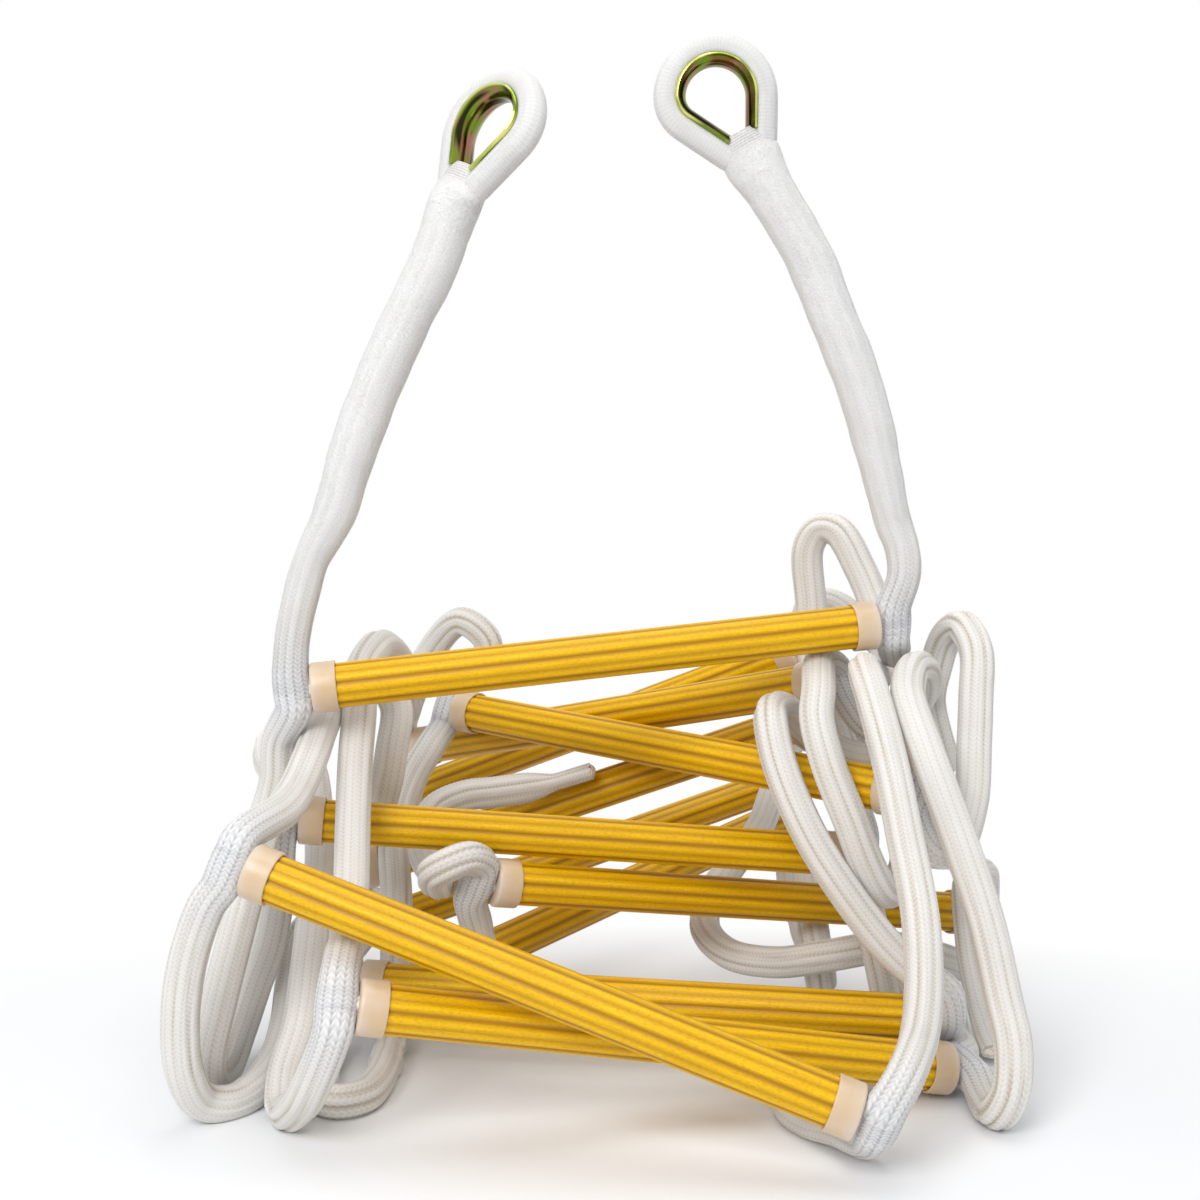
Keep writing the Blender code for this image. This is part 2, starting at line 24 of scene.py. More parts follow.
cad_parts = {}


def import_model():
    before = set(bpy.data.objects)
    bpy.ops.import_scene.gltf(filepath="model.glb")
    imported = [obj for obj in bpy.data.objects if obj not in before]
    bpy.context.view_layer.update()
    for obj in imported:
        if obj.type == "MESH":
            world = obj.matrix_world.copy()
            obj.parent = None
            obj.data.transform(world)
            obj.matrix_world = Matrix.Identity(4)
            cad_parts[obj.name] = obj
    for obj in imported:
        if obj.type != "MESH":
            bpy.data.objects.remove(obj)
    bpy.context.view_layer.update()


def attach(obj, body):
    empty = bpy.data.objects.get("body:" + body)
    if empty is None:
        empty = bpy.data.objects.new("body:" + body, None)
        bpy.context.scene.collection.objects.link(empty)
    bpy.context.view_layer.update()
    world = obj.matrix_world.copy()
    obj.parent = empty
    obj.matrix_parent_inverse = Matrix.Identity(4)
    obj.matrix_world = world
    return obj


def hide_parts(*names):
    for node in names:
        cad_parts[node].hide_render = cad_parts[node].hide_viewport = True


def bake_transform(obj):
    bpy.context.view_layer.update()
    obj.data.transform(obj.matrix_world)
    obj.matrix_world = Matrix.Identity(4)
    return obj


LOG = logging.getLogger("escape_ladder")

MM = 0.001
Point = tuple[float, float, float]
Colour = tuple[float, ...]


class Side(Enum):
    """The two sides of the ladder as the camera sees them."""

    LEFT = "left"
    RIGHT = "right"


class Body(Enum):
    """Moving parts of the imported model."""

    PILE = "pile"
    LEFT_LEG = "left_leg"
    RIGHT_LEG = "right_leg"

    @classmethod
    def leg(cls, side: Side) -> Body:
        """Leg on one side."""
        return cls.LEFT_LEG if side is Side.LEFT else cls.RIGHT_LEG


class Slot(Enum):
    """Material slots of the record."""

    TUBE = "rung_tube"
    COLLAR = "end_collar"
    CORE = "core_rope"
    ROPE = "side_rope"
    THIMBLE = "thimble"


class Hold(NamedTuple):
    """Place where a side rope runs past a rung's end.

    rung is its number, way the rope's direction there, and half how far the rope runs
    straight to each side, in millimetres.
    """

    rung: int
    way: Point
    half: float = 13.0


Stop = Union[Point, Hold]

# Ends of the rungs as they lie, left then right, in the order of the ladder
RUNG_ENDS: tuple[tuple[Point, Point], ...] = (
    ((-158, -103, 218), (158, -61, 248)),
    ((-172, -73, 137), (145, -41, 107)),
    ((-117, -205, 77), (186, -138, 17)),
    ((-127, 134, 137), (131, -35, 210)),
    ((-143, 196, 88), (135, 86, 214)),
    ((-94, 85, 172), (169, -98, 158)),
    ((-136, -77, 41), (181, -110, 34)),
    ((-173, -182, 138), (120, -233, 37)),
    ((-154, 46, 74), (147, 32, 180)),
    ((-155, 96, 19), (128, 214, 89)),
    ((-98, -24, 28), (139, 177, 77)),
    ((-61, -76, 101), (237, 27, 50)),
)

# Where the middle of each side rope runs, from above the first rung to its free end
LEFT_ROUTE: tuple[Stop, ...] = (
    (-169, -103, 236), Hold(1, (-0.1, 0, -1), 9.0),
    (-178, -95, 188), (-180, -94, 165), (-187, -101, 138), (-194, -117, 103), (-203, -142, 56),
    (-208, -150, 29), (-209, -141, 12), (-206, -123, 10), (-201, -107, 27), (-195, -97, 47),
    (-189, -86, 66), (-185, -77, 92),
    Hold(2, (-0.05, 0.3, 1)),
    (-188, -58, 159), (-197, -37, 164), (-199, -15, 170), (-190, 1, 166), (-181, 5, 150),
    (-173, -14, 127), (-165, -48, 105), (-162, -91, 83), (-160, -119, 64), (-160, -142, 42),
    (-165, -159, 20), (-162, -176, 10), (-151, -192, 21), (-139, -210, 44),
    Hold(3, (0, 0.6, 0.8)),
    (-129, -182, 97), (-131, -160, 100), (-133, -136, 112), (-136, -109, 140), (-137, -89, 175),
    (-137, -72, 200), (-138, -56, 221), (-131, -35, 232), (-125, 1, 219), (-127, 53, 192),
    (-133, 104, 169), (-143, 128, 159),
    Hold(4, (0, 0.1, -1)),
    (-143, 152, 84), (-160, 160, 52), (-185, 166, 34), (-214, 180, 24), (-228, 200, 13),
    (-216, 218, 9), (-190, 222, 10), (-163, 213, 32),
    Hold(5, (0, 0, 1)),
    (-158, 196, 113), (-149, 181, 135), (-135, 152, 171), (-118, 122, 207), (-95, 106, 230),
    (-77, 100, 217), (-81, 105, 197),
    Hold(6, (0, -0.5, -0.87)),
    (-113, 69, 150), (-124, 55, 131), (-130, 38, 112), (-131, 16, 98), (-126, -12, 76),
    (-122, -40, 55), (-121, -53, 36), (-120, -66, 18), (-120, -88, 9), (-119, -115, 9),
    (-120, -140, 9), (-125, -157, 9), (-137, -163, 9), (-149, -155, 9), (-151, -130, 9),
    (-152, -98, 12),
    Hold(7, (0, 0, 1)),
    (-150, -65, 69), (-162, -59, 73), (-174, -63, 65), (-176, -84, 45), (-174, -110, 30),
    (-176, -130, 18), (-183, -150, 11), (-194, -164, 9), (-206, -173, 15), (-211, -182, 34),
    (-211, -187, 63), (-206, -188, 95), (-196, -187, 123),
    Hold(8, (0.3, 0.35, 0.87)),
    (-166, -148, 161), (-162, -128, 168), (-158, -110, 181), (-157, -84, 192), (-155, -57, 201),
    (-145, -39, 209), (-132, -23, 207), (-123, -22, 194), (-125, -29, 168), (-129, -28, 147),
    (-140, -8, 120), (-158, 14, 108), (-170, 33, 97),
    Hold(9, (0, 0.3, -1)),
    (-175, 62, 35), (-190, 88, 11), (-200, 120, 9), (-201, 158, 9), (-194, 179, 9),
    (-178, 187, 9), (-163, 180, 9), (-160, 158, 9), (-168, 130, 10),
    Hold(10, (0, -1, 0)),
    (-173, 55, 9), (-186, 30, 9), (-188, 2, 9), (-176, -14, 9), (-155, -13, 9), (-138, 0, 12),
    (-125, -3, 21),
    Hold(11, (0.64, -0.754, 0)),
    (-82, -54, 15), (-52, -58, 9), (-15, -52, 9), (12, -38, 9), (10, -18, 9), (-15, -12, 9),
    (-42, -22, 12), (-60, -38, 28), (-70, -52, 52), (-73, -62, 74),
    Hold(12, (0, -0.5, 0.87)),
    (-74, -96, 121), (-83, -100, 119), (-92, -96, 113), (-94, -68, 97), (-98, -45, 96),
    (-106, -25, 101), (-109, -7, 113), (-102, 6, 124), (-86, 13, 130), (-64, 17, 132),
    (-35, 20, 136), (-5, 20, 145),
)

RIGHT_ROUTE: tuple[Stop, ...] = (
    (172, -61, 268), Hold(1, (0, 0.3, -1), 9.0),
    (174, -38, 229), (176, -21, 233), (170, -2, 250), (161, 10, 274), (148, 18, 297),
    (138, 24, 298), (131, 27, 286), (133, 25, 250), (134, 16, 216), (142, 4, 186), (151, -8, 160),
    (154, -24, 134),
    Hold(2, (0, 0, -1)),
    (158, -55, 76), (164, -66, 49), (170, -58, 26), (177, -36, 11), (181, -12, 9), (190, 6, 9),
    (205, 10, 9), (216, -6, 9), (213, -38, 9), (207, -72, 9), (205, -100, 9),
    Hold(3, (0.21, -0.97, 0)),
    (202, -166, 10), (203, -180, 11), (208, -186, 25), (211, -178, 44), (209, -163, 66),
    (203, -147, 102), (190, -130, 146), (177, -113, 186), (172, -88, 212), (178, -70, 223),
    (188, -52, 220), (190, -42, 206), (178, -38, 190), (160, -36, 186),
    Hold(4, (0, -0.5, 0.87), 9.0),
    (128, -55, 225), (123, -80, 211), (121, -89, 198), (126, -97, 176), (131, -100, 162),
    (138, -103, 145), (147, -103, 122), (158, -95, 103), (170, -75, 97), (180, -50, 102),
    (190, -20, 118), (190, 20, 140), (182, 54, 169), (162, 70, 192),
    Hold(5, (0, 0.3, 0.95)),
    (142, 98, 240), (155, 98, 244), (172, 84, 234), (188, 55, 215), (203, 22, 183),
    (210, -3, 159), (209, -19, 159), (203, -26, 174), (199, -20, 197), (202, -20, 216),
    (207, -25, 236), (213, -39, 244), (217, -58, 232), (214, -72, 208), (211, -83, 185),
    (207, -94, 152), (194, -110, 130), (181, -115, 131),
    Hold(6, (0.35, 0.5, 0.79)),
    (184, -80, 176), (176, -60, 172), (160, -45, 166), (145, -38, 168), (124, -38, 180),
    (108, -54, 197), (97, -76, 199), (100, -89, 175), (115, -101, 138), (135, -109, 106),
    (157, -114, 78), (174, -118, 63), (188, -125, 54),
    Hold(7, (0, 0.8, -0.6)),
    (185, -85, 15), (171, -70, 9), (148, -60, 9), (125, -66, 9), (112, -90, 9), (102, -120, 9),
    (97, -150, 9), (99, -170, 9), (108, -186, 9), (119, -200, 12), (129, -216, 14),
    Hold(8, (0.3, -0.45, 0.84), 9.0),
    (143, -235, 53), (155, -212, 64), (161, -194, 80), (163, -174, 111), (160, -147, 145),
    (156, -120, 182), (151, -97, 211), (149, -79, 224), (154, -58, 220), (162, -38, 213),
    (166, -10, 205), (163, 8, 197),
    Hold(9, (0, 0.85, -0.5)),
    (166, 60, 152), (175, 90, 128), (184, 125, 118), (188, 165, 125), (178, 200, 135),
    (155, 220, 128),
    Hold(10, (0, 0, -1)),
    (145, 216, 32), (145, 195, 11), (144, 150, 9), (143, 90, 9), (142, 28, 9), (140, 4, 12),
    (137, -7, 27), (135, 4, 45), (137, 40, 55), (143, 100, 58), (150, 145, 50), (153, 173, 50),
    Hold(11, (0, 0, 1)),
    (146, 181, 108), (138, 163, 115), (125, 138, 106), (111, 105, 86), (90, 75, 68), (72, 48, 53),
    (68, 25, 40), (80, 2, 32), (108, -18, 33), (139, -37, 44), (166, -38, 49), (186, -26, 44),
    (211, -14, 34), (234, 2, 23), (248, 20, 25),
    Hold(12, (0, 0, 1), 9.0),
    (247, 27, 75), (232, 5, 78), (226, -26, 55), (225, -54, 31), (226, -80, 13), (226, -98, 9),
)


@dataclass(frozen=True)
class Layout:
    """Brings the routes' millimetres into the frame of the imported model."""

    zero: tuple[float, float] = (10.5, -8.3)
    floor_rope: float = 9.0
    lowest: float = 7.2 * MM

    def place(self, point: Sequence[float]) -> Vector:
        """Place a point of a route.

        Args:
            point: x, y and z in the route's millimetres.

        Returns:
            The same point in metres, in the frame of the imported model.
        """
        height = (point[2] - self.floor_rope) * MM + self.lowest
        return Vector(((point[0] - self.zero[0]) * MM, (point[1] - self.zero[1]) * MM, height))


LAYOUT = Layout()


# Finishes


class Graph:
    """Nodes of one tree."""

    def __init__(self, tree: bpy.types.NodeTree) -> None:
        """Take the tree that the nodes go into."""
        self.tree = tree

    def add(self, kind: str, settings: dict[str, object] | None = None, **inputs: object) -> bpy.types.Node:
        """Add a node.

        Args:
            kind: identifier of the node's type.
            settings: properties of the node itself.
            **inputs: values of its sockets, an underscore standing for a space.

        Returns:
            The new node.
        """
        node = self.tree.nodes.new(kind)
        for name, value in (settings or {}).items():
            setattr(node, name, value)
        for name, value in inputs.items():
            node.inputs[name.replace("_", " ")].default_value = value
        return node

    def join(self, source: bpy.types.NodeSocket, target: bpy.types.NodeSocket) -> None:
        """Link an output to an input."""
        self.tree.links.new(source, target)

    def maths(self, kind: str, first: object, second: object = 0.0) -> bpy.types.NodeSocket:
        """Add a Math node.

        Args:
            kind: its operation.
            first: a socket or a number.
            second: a socket or a number.

        Returns:
            Its output.
        """
        node = self.add("ShaderNodeMath", {"operation": kind})
        for slot, value in zip(node.inputs, (first, second)):
            if isinstance(value, bpy.types.NodeSocket):
                self.join(value, slot)
            else:
                slot.default_value = value
        return node.outputs[0]

    def mix(self, share: object, low: object, high: object) -> bpy.types.NodeSocket:
        """Mix two colours.

        Args:
            share: socket or number, 0 for low and 1 for high.
            low: socket or RGBA colour.
            high: socket or RGBA colour.

        Returns:
            The mixed colour.
        """
        node = self.add("ShaderNodeMix", {"data_type": "RGBA"})
        for slot, value in zip((node.inputs[0], node.inputs[6], node.inputs[7]), (share, low, high)):
            if isinstance(value, bpy.types.NodeSocket):
                self.join(value, slot)
            else:
                slot.default_value = value
        return node.outputs[2]

    def ramp(self, value: bpy.types.NodeSocket, low: float, high: float) -> bpy.types.NodeSocket:
        """Stretch the span from low to high over 0 to 1, held at both ends.

        Args:
            value: what is stretched.
            low: what becomes 0.
            high: what becomes 1.

        Returns:
            The stretched value.
        """
        node = self.add("ShaderNodeMapRange", {"clamp": True}, From_Min=low, From_Max=high)
        self.join(value, node.inputs["Value"])
        return node.outputs["Result"]

    def noise(self, vector: bpy.types.NodeSocket, scale: float, detail: float = 3.0) -> bpy.types.NodeSocket:
        """Add a noise texture.

        Args:
            vector: coordinates that it reads.
            scale: cells in a metre, or in a unit of the UV map.
            detail: its octaves.

        Returns:
            Its value, from 0 to 1.
        """
        node = self.add("ShaderNodeTexNoise", Scale=scale, Detail=detail, Roughness=0.55)
        self.join(vector, node.inputs["Vector"])
        return node.outputs["Fac"]

    def streaks(self, vector: bpy.types.NodeSocket, first: float, second: float,
                detail: float) -> bpy.types.NodeSocket:
        """Add noise that is finer one way than the other.

        Args:
            vector: coordinates that it reads.
            first: cells in a unit of their first axis.
            second: cells in a unit of their second axis.
            detail: its octaves.

        Returns:
            Its value, from 0 to 1.
        """
        node = self.add("ShaderNodeMapping", Scale=(first, second, 1.0))
        self.join(vector, node.inputs["Vector"])
        return self.noise(node.outputs[0], 1.0, detail)

    def tint(self, base: object, over: object, value: bpy.types.NodeSocket, span: tuple[float, float],
             share: float) -> bpy.types.NodeSocket:
        """Lay one colour over another where a value is high.

        Args:
            base: socket or colour underneath.
            over: socket or colour on top.
            value: what decides where it shows.
            span: values at which the top colour starts, and is full.
            share: how much of it shows there.

        Returns:
            The mixed colour.
        """
        return self.mix(self.maths("MULTIPLY", self.ramp(value, *span), share), base, over)

    def coordinates(self, which: str) -> bpy.types.NodeSocket:
        """Output of Texture Coordinate, such as Object or UV."""
        return self.add("ShaderNodeTexCoord").outputs[which]

    def attribute(self, name: str) -> bpy.types.NodeSocket:
        """Value of a named attribute of the mesh."""
        return self.add("ShaderNodeAttribute", {"attribute_name": name}).outputs["Fac"]

    def seen(self) -> bpy.types.NodeSocket:
        """Share of rays that see the background itself: from the camera, gloss or glass.

        Returns:
            1 for such a ray and 0 for the others.
        """
        rays = self.add("ShaderNodeLightPath")
        seen = self.maths("MAXIMUM", rays.outputs["Is Camera Ray"], rays.outputs["Is Glossy Ray"])
        return self.maths("MAXIMUM", seen, rays.outputs["Is Transmission Ray"])


class MaterialGraph(Graph):
    """Node tree of one Principled material."""

    def __init__(self, name: str) -> None:
        """Start a material with its Principled shader.

        Args:
            name: name of the material.
        """
        self.material = bpy.data.materials.new(name)
        self.material.use_nodes = True
        super().__init__(self.material.node_tree)
        self.shader = self.tree.nodes["Principled BSDF"]

    def settle(self, **values: object) -> None:
        """Set sockets of the shader, an underscore standing for a space."""
        for name, value in values.items():
            self.shader.inputs[name.replace("_", " ")].default_value = value

    def paint(self, colour: bpy.types.NodeSocket) -> None:
        """Use a colour as the surface's own."""
        self.join(colour, self.shader.inputs["Base Color"])

    def roughen(self, value: bpy.types.NodeSocket, span: tuple[float, float],
                rough: tuple[float, float]) -> None:
        """Vary the roughness.

        Args:
            value: what decides it.
            span: values between which it changes.
            rough: roughness at both ends of the span.
        """
        (low, high), (first, last) = span, rough
        node = self.add("ShaderNodeMapRange", From_Min=low, From_Max=high, To_Min=first, To_Max=last)
        self.join(value, node.inputs["Value"])
        self.join(node.outputs["Result"], self.shader.inputs["Roughness"])

    def bump(self, height: bpy.types.NodeSocket, strength: float, distance: float) -> None:
        """Raise the surface by a height, on top of any bump it has.

        Args:
            height: the height, from 0 to 1.
            strength: how much of it shows.
            distance: how high 1 is, in metres.
        """
        node = self.add("ShaderNodeBump", Strength=strength, Distance=distance)
        self.join(height, node.inputs["Height"])
        before = self.shader.inputs["Normal"].links
        if before:
            self.join(before[0].from_socket, node.inputs["Normal"])
        self.join(node.outputs[0], self.shader.inputs["Normal"])


def rgba(red: float, green: float, blue: float) -> tuple[float, float, float, float]:
    """Colour with full cover from sRGB values of 0 to 255."""
    linear = (((v / 255.0 + 0.055) / 1.055) ** 2.4 if v > 10 else v / 3294.0 for v in (red, green, blue))
    return (*linear, 1.0)


@dataclass(frozen=True)
class BraidFinish:
    """White polyester braid with painted shade in its stitches and folds, cool grey where it is tight and
    warm cream where it is slack.
    """

    name: str = "white_braid"
    tight: Colour = rgba(251, 251, 252)
    slack: Colour = rgba(253, 251, 248)
    # the cool and warm colours below are painted shade for hollows; the warm one also tints random patches
    cool_shade: Colour = rgba(158, 161, 168)
    warm_tone_and_shade: Colour = rgba(188, 174, 150)
    yarns: float = 3.0
    yarn_height: float = 0.12 * MM
    mottle: float = 0.14
    patching: float = 0.06
    roughness: float = 0.52
    sheen: float = 0.1
    sheen_roughness: float = 0.4

    def material(self) -> bpy.types.Material:
        """Build the material.

        Returns:
            Braid that reads the piece's UV map, whose unit is one stitch, its hollow, where shade is
            painted, and its slack, which makes that painted shade warmer.
        """
        graph = MaterialGraph(self.name)
        stitches = graph.coordinates("UV")
        slack = graph.attribute("slack")
        lit = graph.mix(slack, self.tight, self.slack)
        # painted shade colour for stitches and folds, cool where tight and warm where slack; it also serves
        # for random mottle
        deep = graph.mix(slack, self.cool_shade, self.warm_tone_and_shade)
        fuzz = graph.streaks(stitches, 7.0, 4.0, 3.0)
        patches = graph.noise(graph.coordinates("Object"), 45.0, 2.0)
        lit = graph.tint(lit, deep, fuzz, (0.45, 0.75), self.mottle)
        lit = graph.tint(lit, self.warm_tone_and_shade, patches, (0.4, 0.7), self.patching)
        # paint shade into the hollows of the stitches and folds
        hollow = graph.maths("POWER", graph.attribute("hollow"), 1.5)
        depth = graph.maths("MULTIPLY", hollow, graph.ramp(fuzz, -0.1, 0.6))
        graph.paint(graph.mix(depth, lit, deep))
        graph.settle(Roughness=self.roughness, Sheen_Weight=self.sheen, Sheen_Roughness=self.sheen_roughness)
        yarn = graph.add(
            "ShaderNodeTexWave", {"bands_direction": "Y"}, Scale=self.yarns, Distortion=0.8, Detail=1.0,
        )
        graph.join(stitches, yarn.inputs["Vector"])
        graph.bump(yarn.outputs["Fac"], 0.8, self.yarn_height)
        graph.bump(fuzz, 0.8, self.yarn_height * 1.2)
        return graph.material


@dataclass(frozen=True)
class TubeFinish:
    """Yellow extruded plastic with fine streaks along it, painted glints in fine specks, and painted shade in
    its flutes.
    """

    name: str = "yellow_ribbed_plastic"
    bright_tone_and_glint: Colour = rgba(246, 197, 0)
    plain: Colour = rgba(226, 172, 0)
    # the darker colour below serves for random grain and for shade painted into the flutes
    grain_and_flute_shade: Colour = rgba(152, 102, 0)
    flute_shade_share: float = 0.9
    specular: float = 0.3

    def material(self) -> bpy.types.Material:
        """Build the material.

        Returns:
            Plastic that reads the UV map, round and along in metres, and the hollow, where shade is painted
            into the flutes.
        """
        graph = MaterialGraph(self.name)
        flat = graph.coordinates("UV")
        streaks = graph.streaks(flat, 900.0, 34.0, 4.0)
        glint_specks = graph.streaks(flat, 1500.0, 700.0, 2.0)
        clouds = graph.streaks(flat, 60.0, 22.0, 3.0)
        grain = graph.streaks(flat, 1100.0, 420.0, 3.0)
        body = graph.mix(graph.ramp(streaks, 0.32, 0.68), self.plain, self.bright_tone_and_glint)
        body = graph.tint(body, self.plain, clouds, (0.5, 0.8), 0.35)
        body = graph.tint(body, self.grain_and_flute_shade, grain, (0.46, 0.7), 0.32)
        # fine specks tinted bright are painted glints
        body = graph.tint(body, self.bright_tone_and_glint, glint_specks, (0.55, 0.75), 0.5)
        # shade painted into the flutes, where the hollow mark is high
        depth = graph.maths("MULTIPLY", graph.attribute("hollow"), graph.ramp(streaks, -0.5, 0.5))
        graph.paint(graph.mix(graph.maths("MULTIPLY", depth, self.flute_shade_share), body, self.grain_and_flute_shade))
        graph.roughen(glint_specks, (0.3, 0.7), (0.34, 0.5))
        graph.settle(Specular_IOR_Level=self.specular)
        graph.bump(streaks, 0.5, 0.2 * MM)
        graph.bump(glint_specks, 0.7, 0.12 * MM)
        return graph.material


@dataclass(frozen=True)
class CollarFinish:
    """Cloudy cream plastic, soft and a little see-through."""

    name: str = "cloudy_cream_plastic"
    light: Colour = rgba(214, 197, 180)
    dark: Colour = rgba(208, 181, 145)

    def material(self) -> bpy.types.Material:
        """Build the material.

        Returns:
            Plastic that reads how far over the tube it is, as the hollow.
        """
        graph = MaterialGraph(self.name)
        place = graph.coordinates("Object")
        clouds = graph.maths("MULTIPLY", graph.ramp(graph.noise(place, 70.0, 3.0), 0.35, 0.68), 0.4)
        over_tube = graph.maths("MULTIPLY", graph.attribute("hollow"), 0.6)
        graph.paint(graph.mix(graph.maths("ADD", clouds, over_tube), self.light, self.dark))
        graph.settle(
            Roughness=0.34, Subsurface_Weight=0.3, Subsurface_Scale=3.0 * MM,
            Subsurface_Radius=(1.0, 0.7, 0.4),
        )
        graph.bump(graph.noise(place, 900.0, 2.0), 0.15, 0.08 * MM)
        return graph.material


@dataclass(frozen=True)
class SteelFinish:
    """Bright zinc plating, passivated yellow-green with rosy patches, gold rim bands that are partly painted
    highlight, and dark stripes inside that are painted reflection.
    """

    name: str = "yellow_zinc_steel"
    gold_and_highlight: Colour = rgba(222, 224, 132)
    green: Colour = rgba(118, 138, 48)
    rose: Colour = rgba(158, 112, 92)
    dark: Colour = rgba(44, 46, 22)

    def material(self) -> bpy.types.Material:
        """Build the material.

        Returns:
            Plated steel that reads the UV map, along and across the channel in metres.
        """
        graph = MaterialGraph(self.name)
        flat = graph.coordinates("UV")
        bands = graph.streaks(flat, 26.0, 300.0, 2.0)
        patches = graph.streaks(flat, 48.0, 60.0, 2.0)
        reflection_stripes = graph.streaks(flat, 18.0, 210.0, 1.0)
        scratches = graph.streaks(flat, 90.0, 1600.0, 2.0)
        # gold bands on the rims: the plating's tone and painted highlight
        rims = graph.mix(graph.ramp(bands, 0.44, 0.6), self.gold_and_highlight, self.green)
        inner = graph.mix(graph.ramp(patches, 0.4, 0.56), self.rose, self.green)
        # dark stripes in the channel are painted reflection
        inner = graph.mix(graph.ramp(reflection_stripes, 0.48, 0.6), inner, self.dark)
        graph.paint(graph.mix(graph.attribute("hollow"), rims, inner))
        graph.settle(Metallic=1.0)
        graph.roughen(patches, (0.3, 0.75), (0.12, 0.28))
        graph.bump(scratches, 0.25, 0.04 * MM)
        graph.bump(bands, 0.35, 0.3 * MM)
        return graph.material


@dataclass(frozen=True)
class MeltedFinish:
    """Rope's end where its yarns were melted together."""

    name: str = "melted_yarn"
    pale: Colour = rgba(238, 230, 217)
    brown: Colour = rgba(204, 174, 138)

    def material(self) -> bpy.types.Material:
        """Build the material.

        Returns:
            Blotchy, slightly see-through plastic.
        """
        graph = MaterialGraph(self.name)
        blotches = graph.ramp(graph.noise(graph.coordinates("Object"), 320.0, 3.0), 0.48, 0.72)
        graph.paint(graph.mix(blotches, self.pale, self.brown))
        graph.settle(Roughness=0.4, Subsurface_Weight=0.2, Subsurface_Scale=1.5 * MM)
        graph.bump(blotches, 0.5, 0.3 * MM)
        return graph.material


class Finishes:
    """Materials of the ladder, each made once."""

    def __init__(self) -> None:
        """Build every material."""
        self.rope = BraidFinish().material()
        self.smooth_rope = BraidFinish(
            name="fine_white_braid", tight=rgba(250, 250, 251), slack=rgba(249, 247, 243),
            yarns=2.0, yarn_height=0.24 * MM, mottle=0.26,
        ).material()
        self.tube = TubeFinish().material()
        self.collar = CollarFinish().material()
        self.steel = SteelFinish().material()
        self.melted = MeltedFinish().material()


# Mesh tools


def finish_mesh(shape: bmesh.types.BMesh, name: str, sharp: float = 40.0) -> bpy.types.Mesh:
    """Turn a bmesh into a mesh with its faces outwards and its hard edges marked.

    Args:
        shape: the bmesh, which is freed.
        name: name of the mesh.
        sharp: edges that turn by more than this many degrees stay hard.

    Returns:
        The new mesh.
    """
    bmesh.ops.recalc_face_normals(shape, faces=shape.faces)
    mesh = bpy.data.meshes.new(name)
    shape.to_mesh(mesh)
    shape.free()
    mesh.shade_smooth()
    mesh.set_sharp_from_angle(angle=math.radians(sharp))
    return mesh


def add_piece(name: str, mesh: bpy.types.Mesh, material: bpy.types.Material) -> bpy.types.Object:
    """Link a finished mesh as a piece of the ladder.

    Args:
        name: name of the piece.
        mesh: mesh with its place in its vertices.
        material: its finish.

    Returns:
        The new object, which stands at the origin.
    """
    mesh.materials.clear()
    mesh.materials.append(material)
    piece = bpy.data.objects.new(name, mesh)
    bpy.context.scene.collection.objects.link(piece)
    LOG.info("piece %s: %d faces", name, len(mesh.polygons))
    return piece


def skin_grid(
    places: np.ndarray, marks: dict[str, np.ndarray], flat: np.ndarray, name: str, sharp: float = 60.0
) -> bpy.types.Mesh:
    """Close a grid of points round a line into a tube with filled ends.

    Args:
        places: points, rows along the line by columns round it by 3, whose last column
            repeats the first.
        marks: values of each point from 0 to 1 for the material, rows by columns.
        flat: UV of each point, rows by columns by 2.
        name: name of the mesh.
        sharp: edges that turn by more than this many degrees stay hard.

    Returns:
        The closed mesh.
    """
    rows, columns = places.shape[:2]
    shape = bmesh.new()
    uvs = shape.loops.layers.uv.new("UVMap")
    layers = {mark: shape.verts.layers.float.new(mark) for mark in marks}
    bmesh.ops.create_grid(shape, x_segments=columns - 1, y_segments=rows - 1, size=0.5, calc_uvs=True)
    shape.verts.ensure_lookup_table()
    for vert, place in zip(shape.verts, places.reshape(-1, 3).tolist()):
        vert.co = place
    for mark, values in marks.items():
        layer = layers[mark]
        for vert, value in zip(shape.verts, values.ravel().tolist()):
            vert[layer] = value
    spots = flat.reshape(-1, 2).tolist()
    for face in shape.faces:
        for corner in face.loops:
            corner[uvs].uv = spots[corner.vert.index]
    seam = [shape.verts[row * columns + column] for row in range(rows) for column in (0, columns - 1)]
    bmesh.ops.weld_verts(shape, targetmap={seam[k + 1]: seam[k] for k in range(0, len(seam), 2)})
    rims = [edge for edge in shape.edges if edge.is_boundary]
    bmesh.ops.edgeloop_fill(shape, edges=rims)
    return finish_mesh(shape, name, sharp)


# Ropes


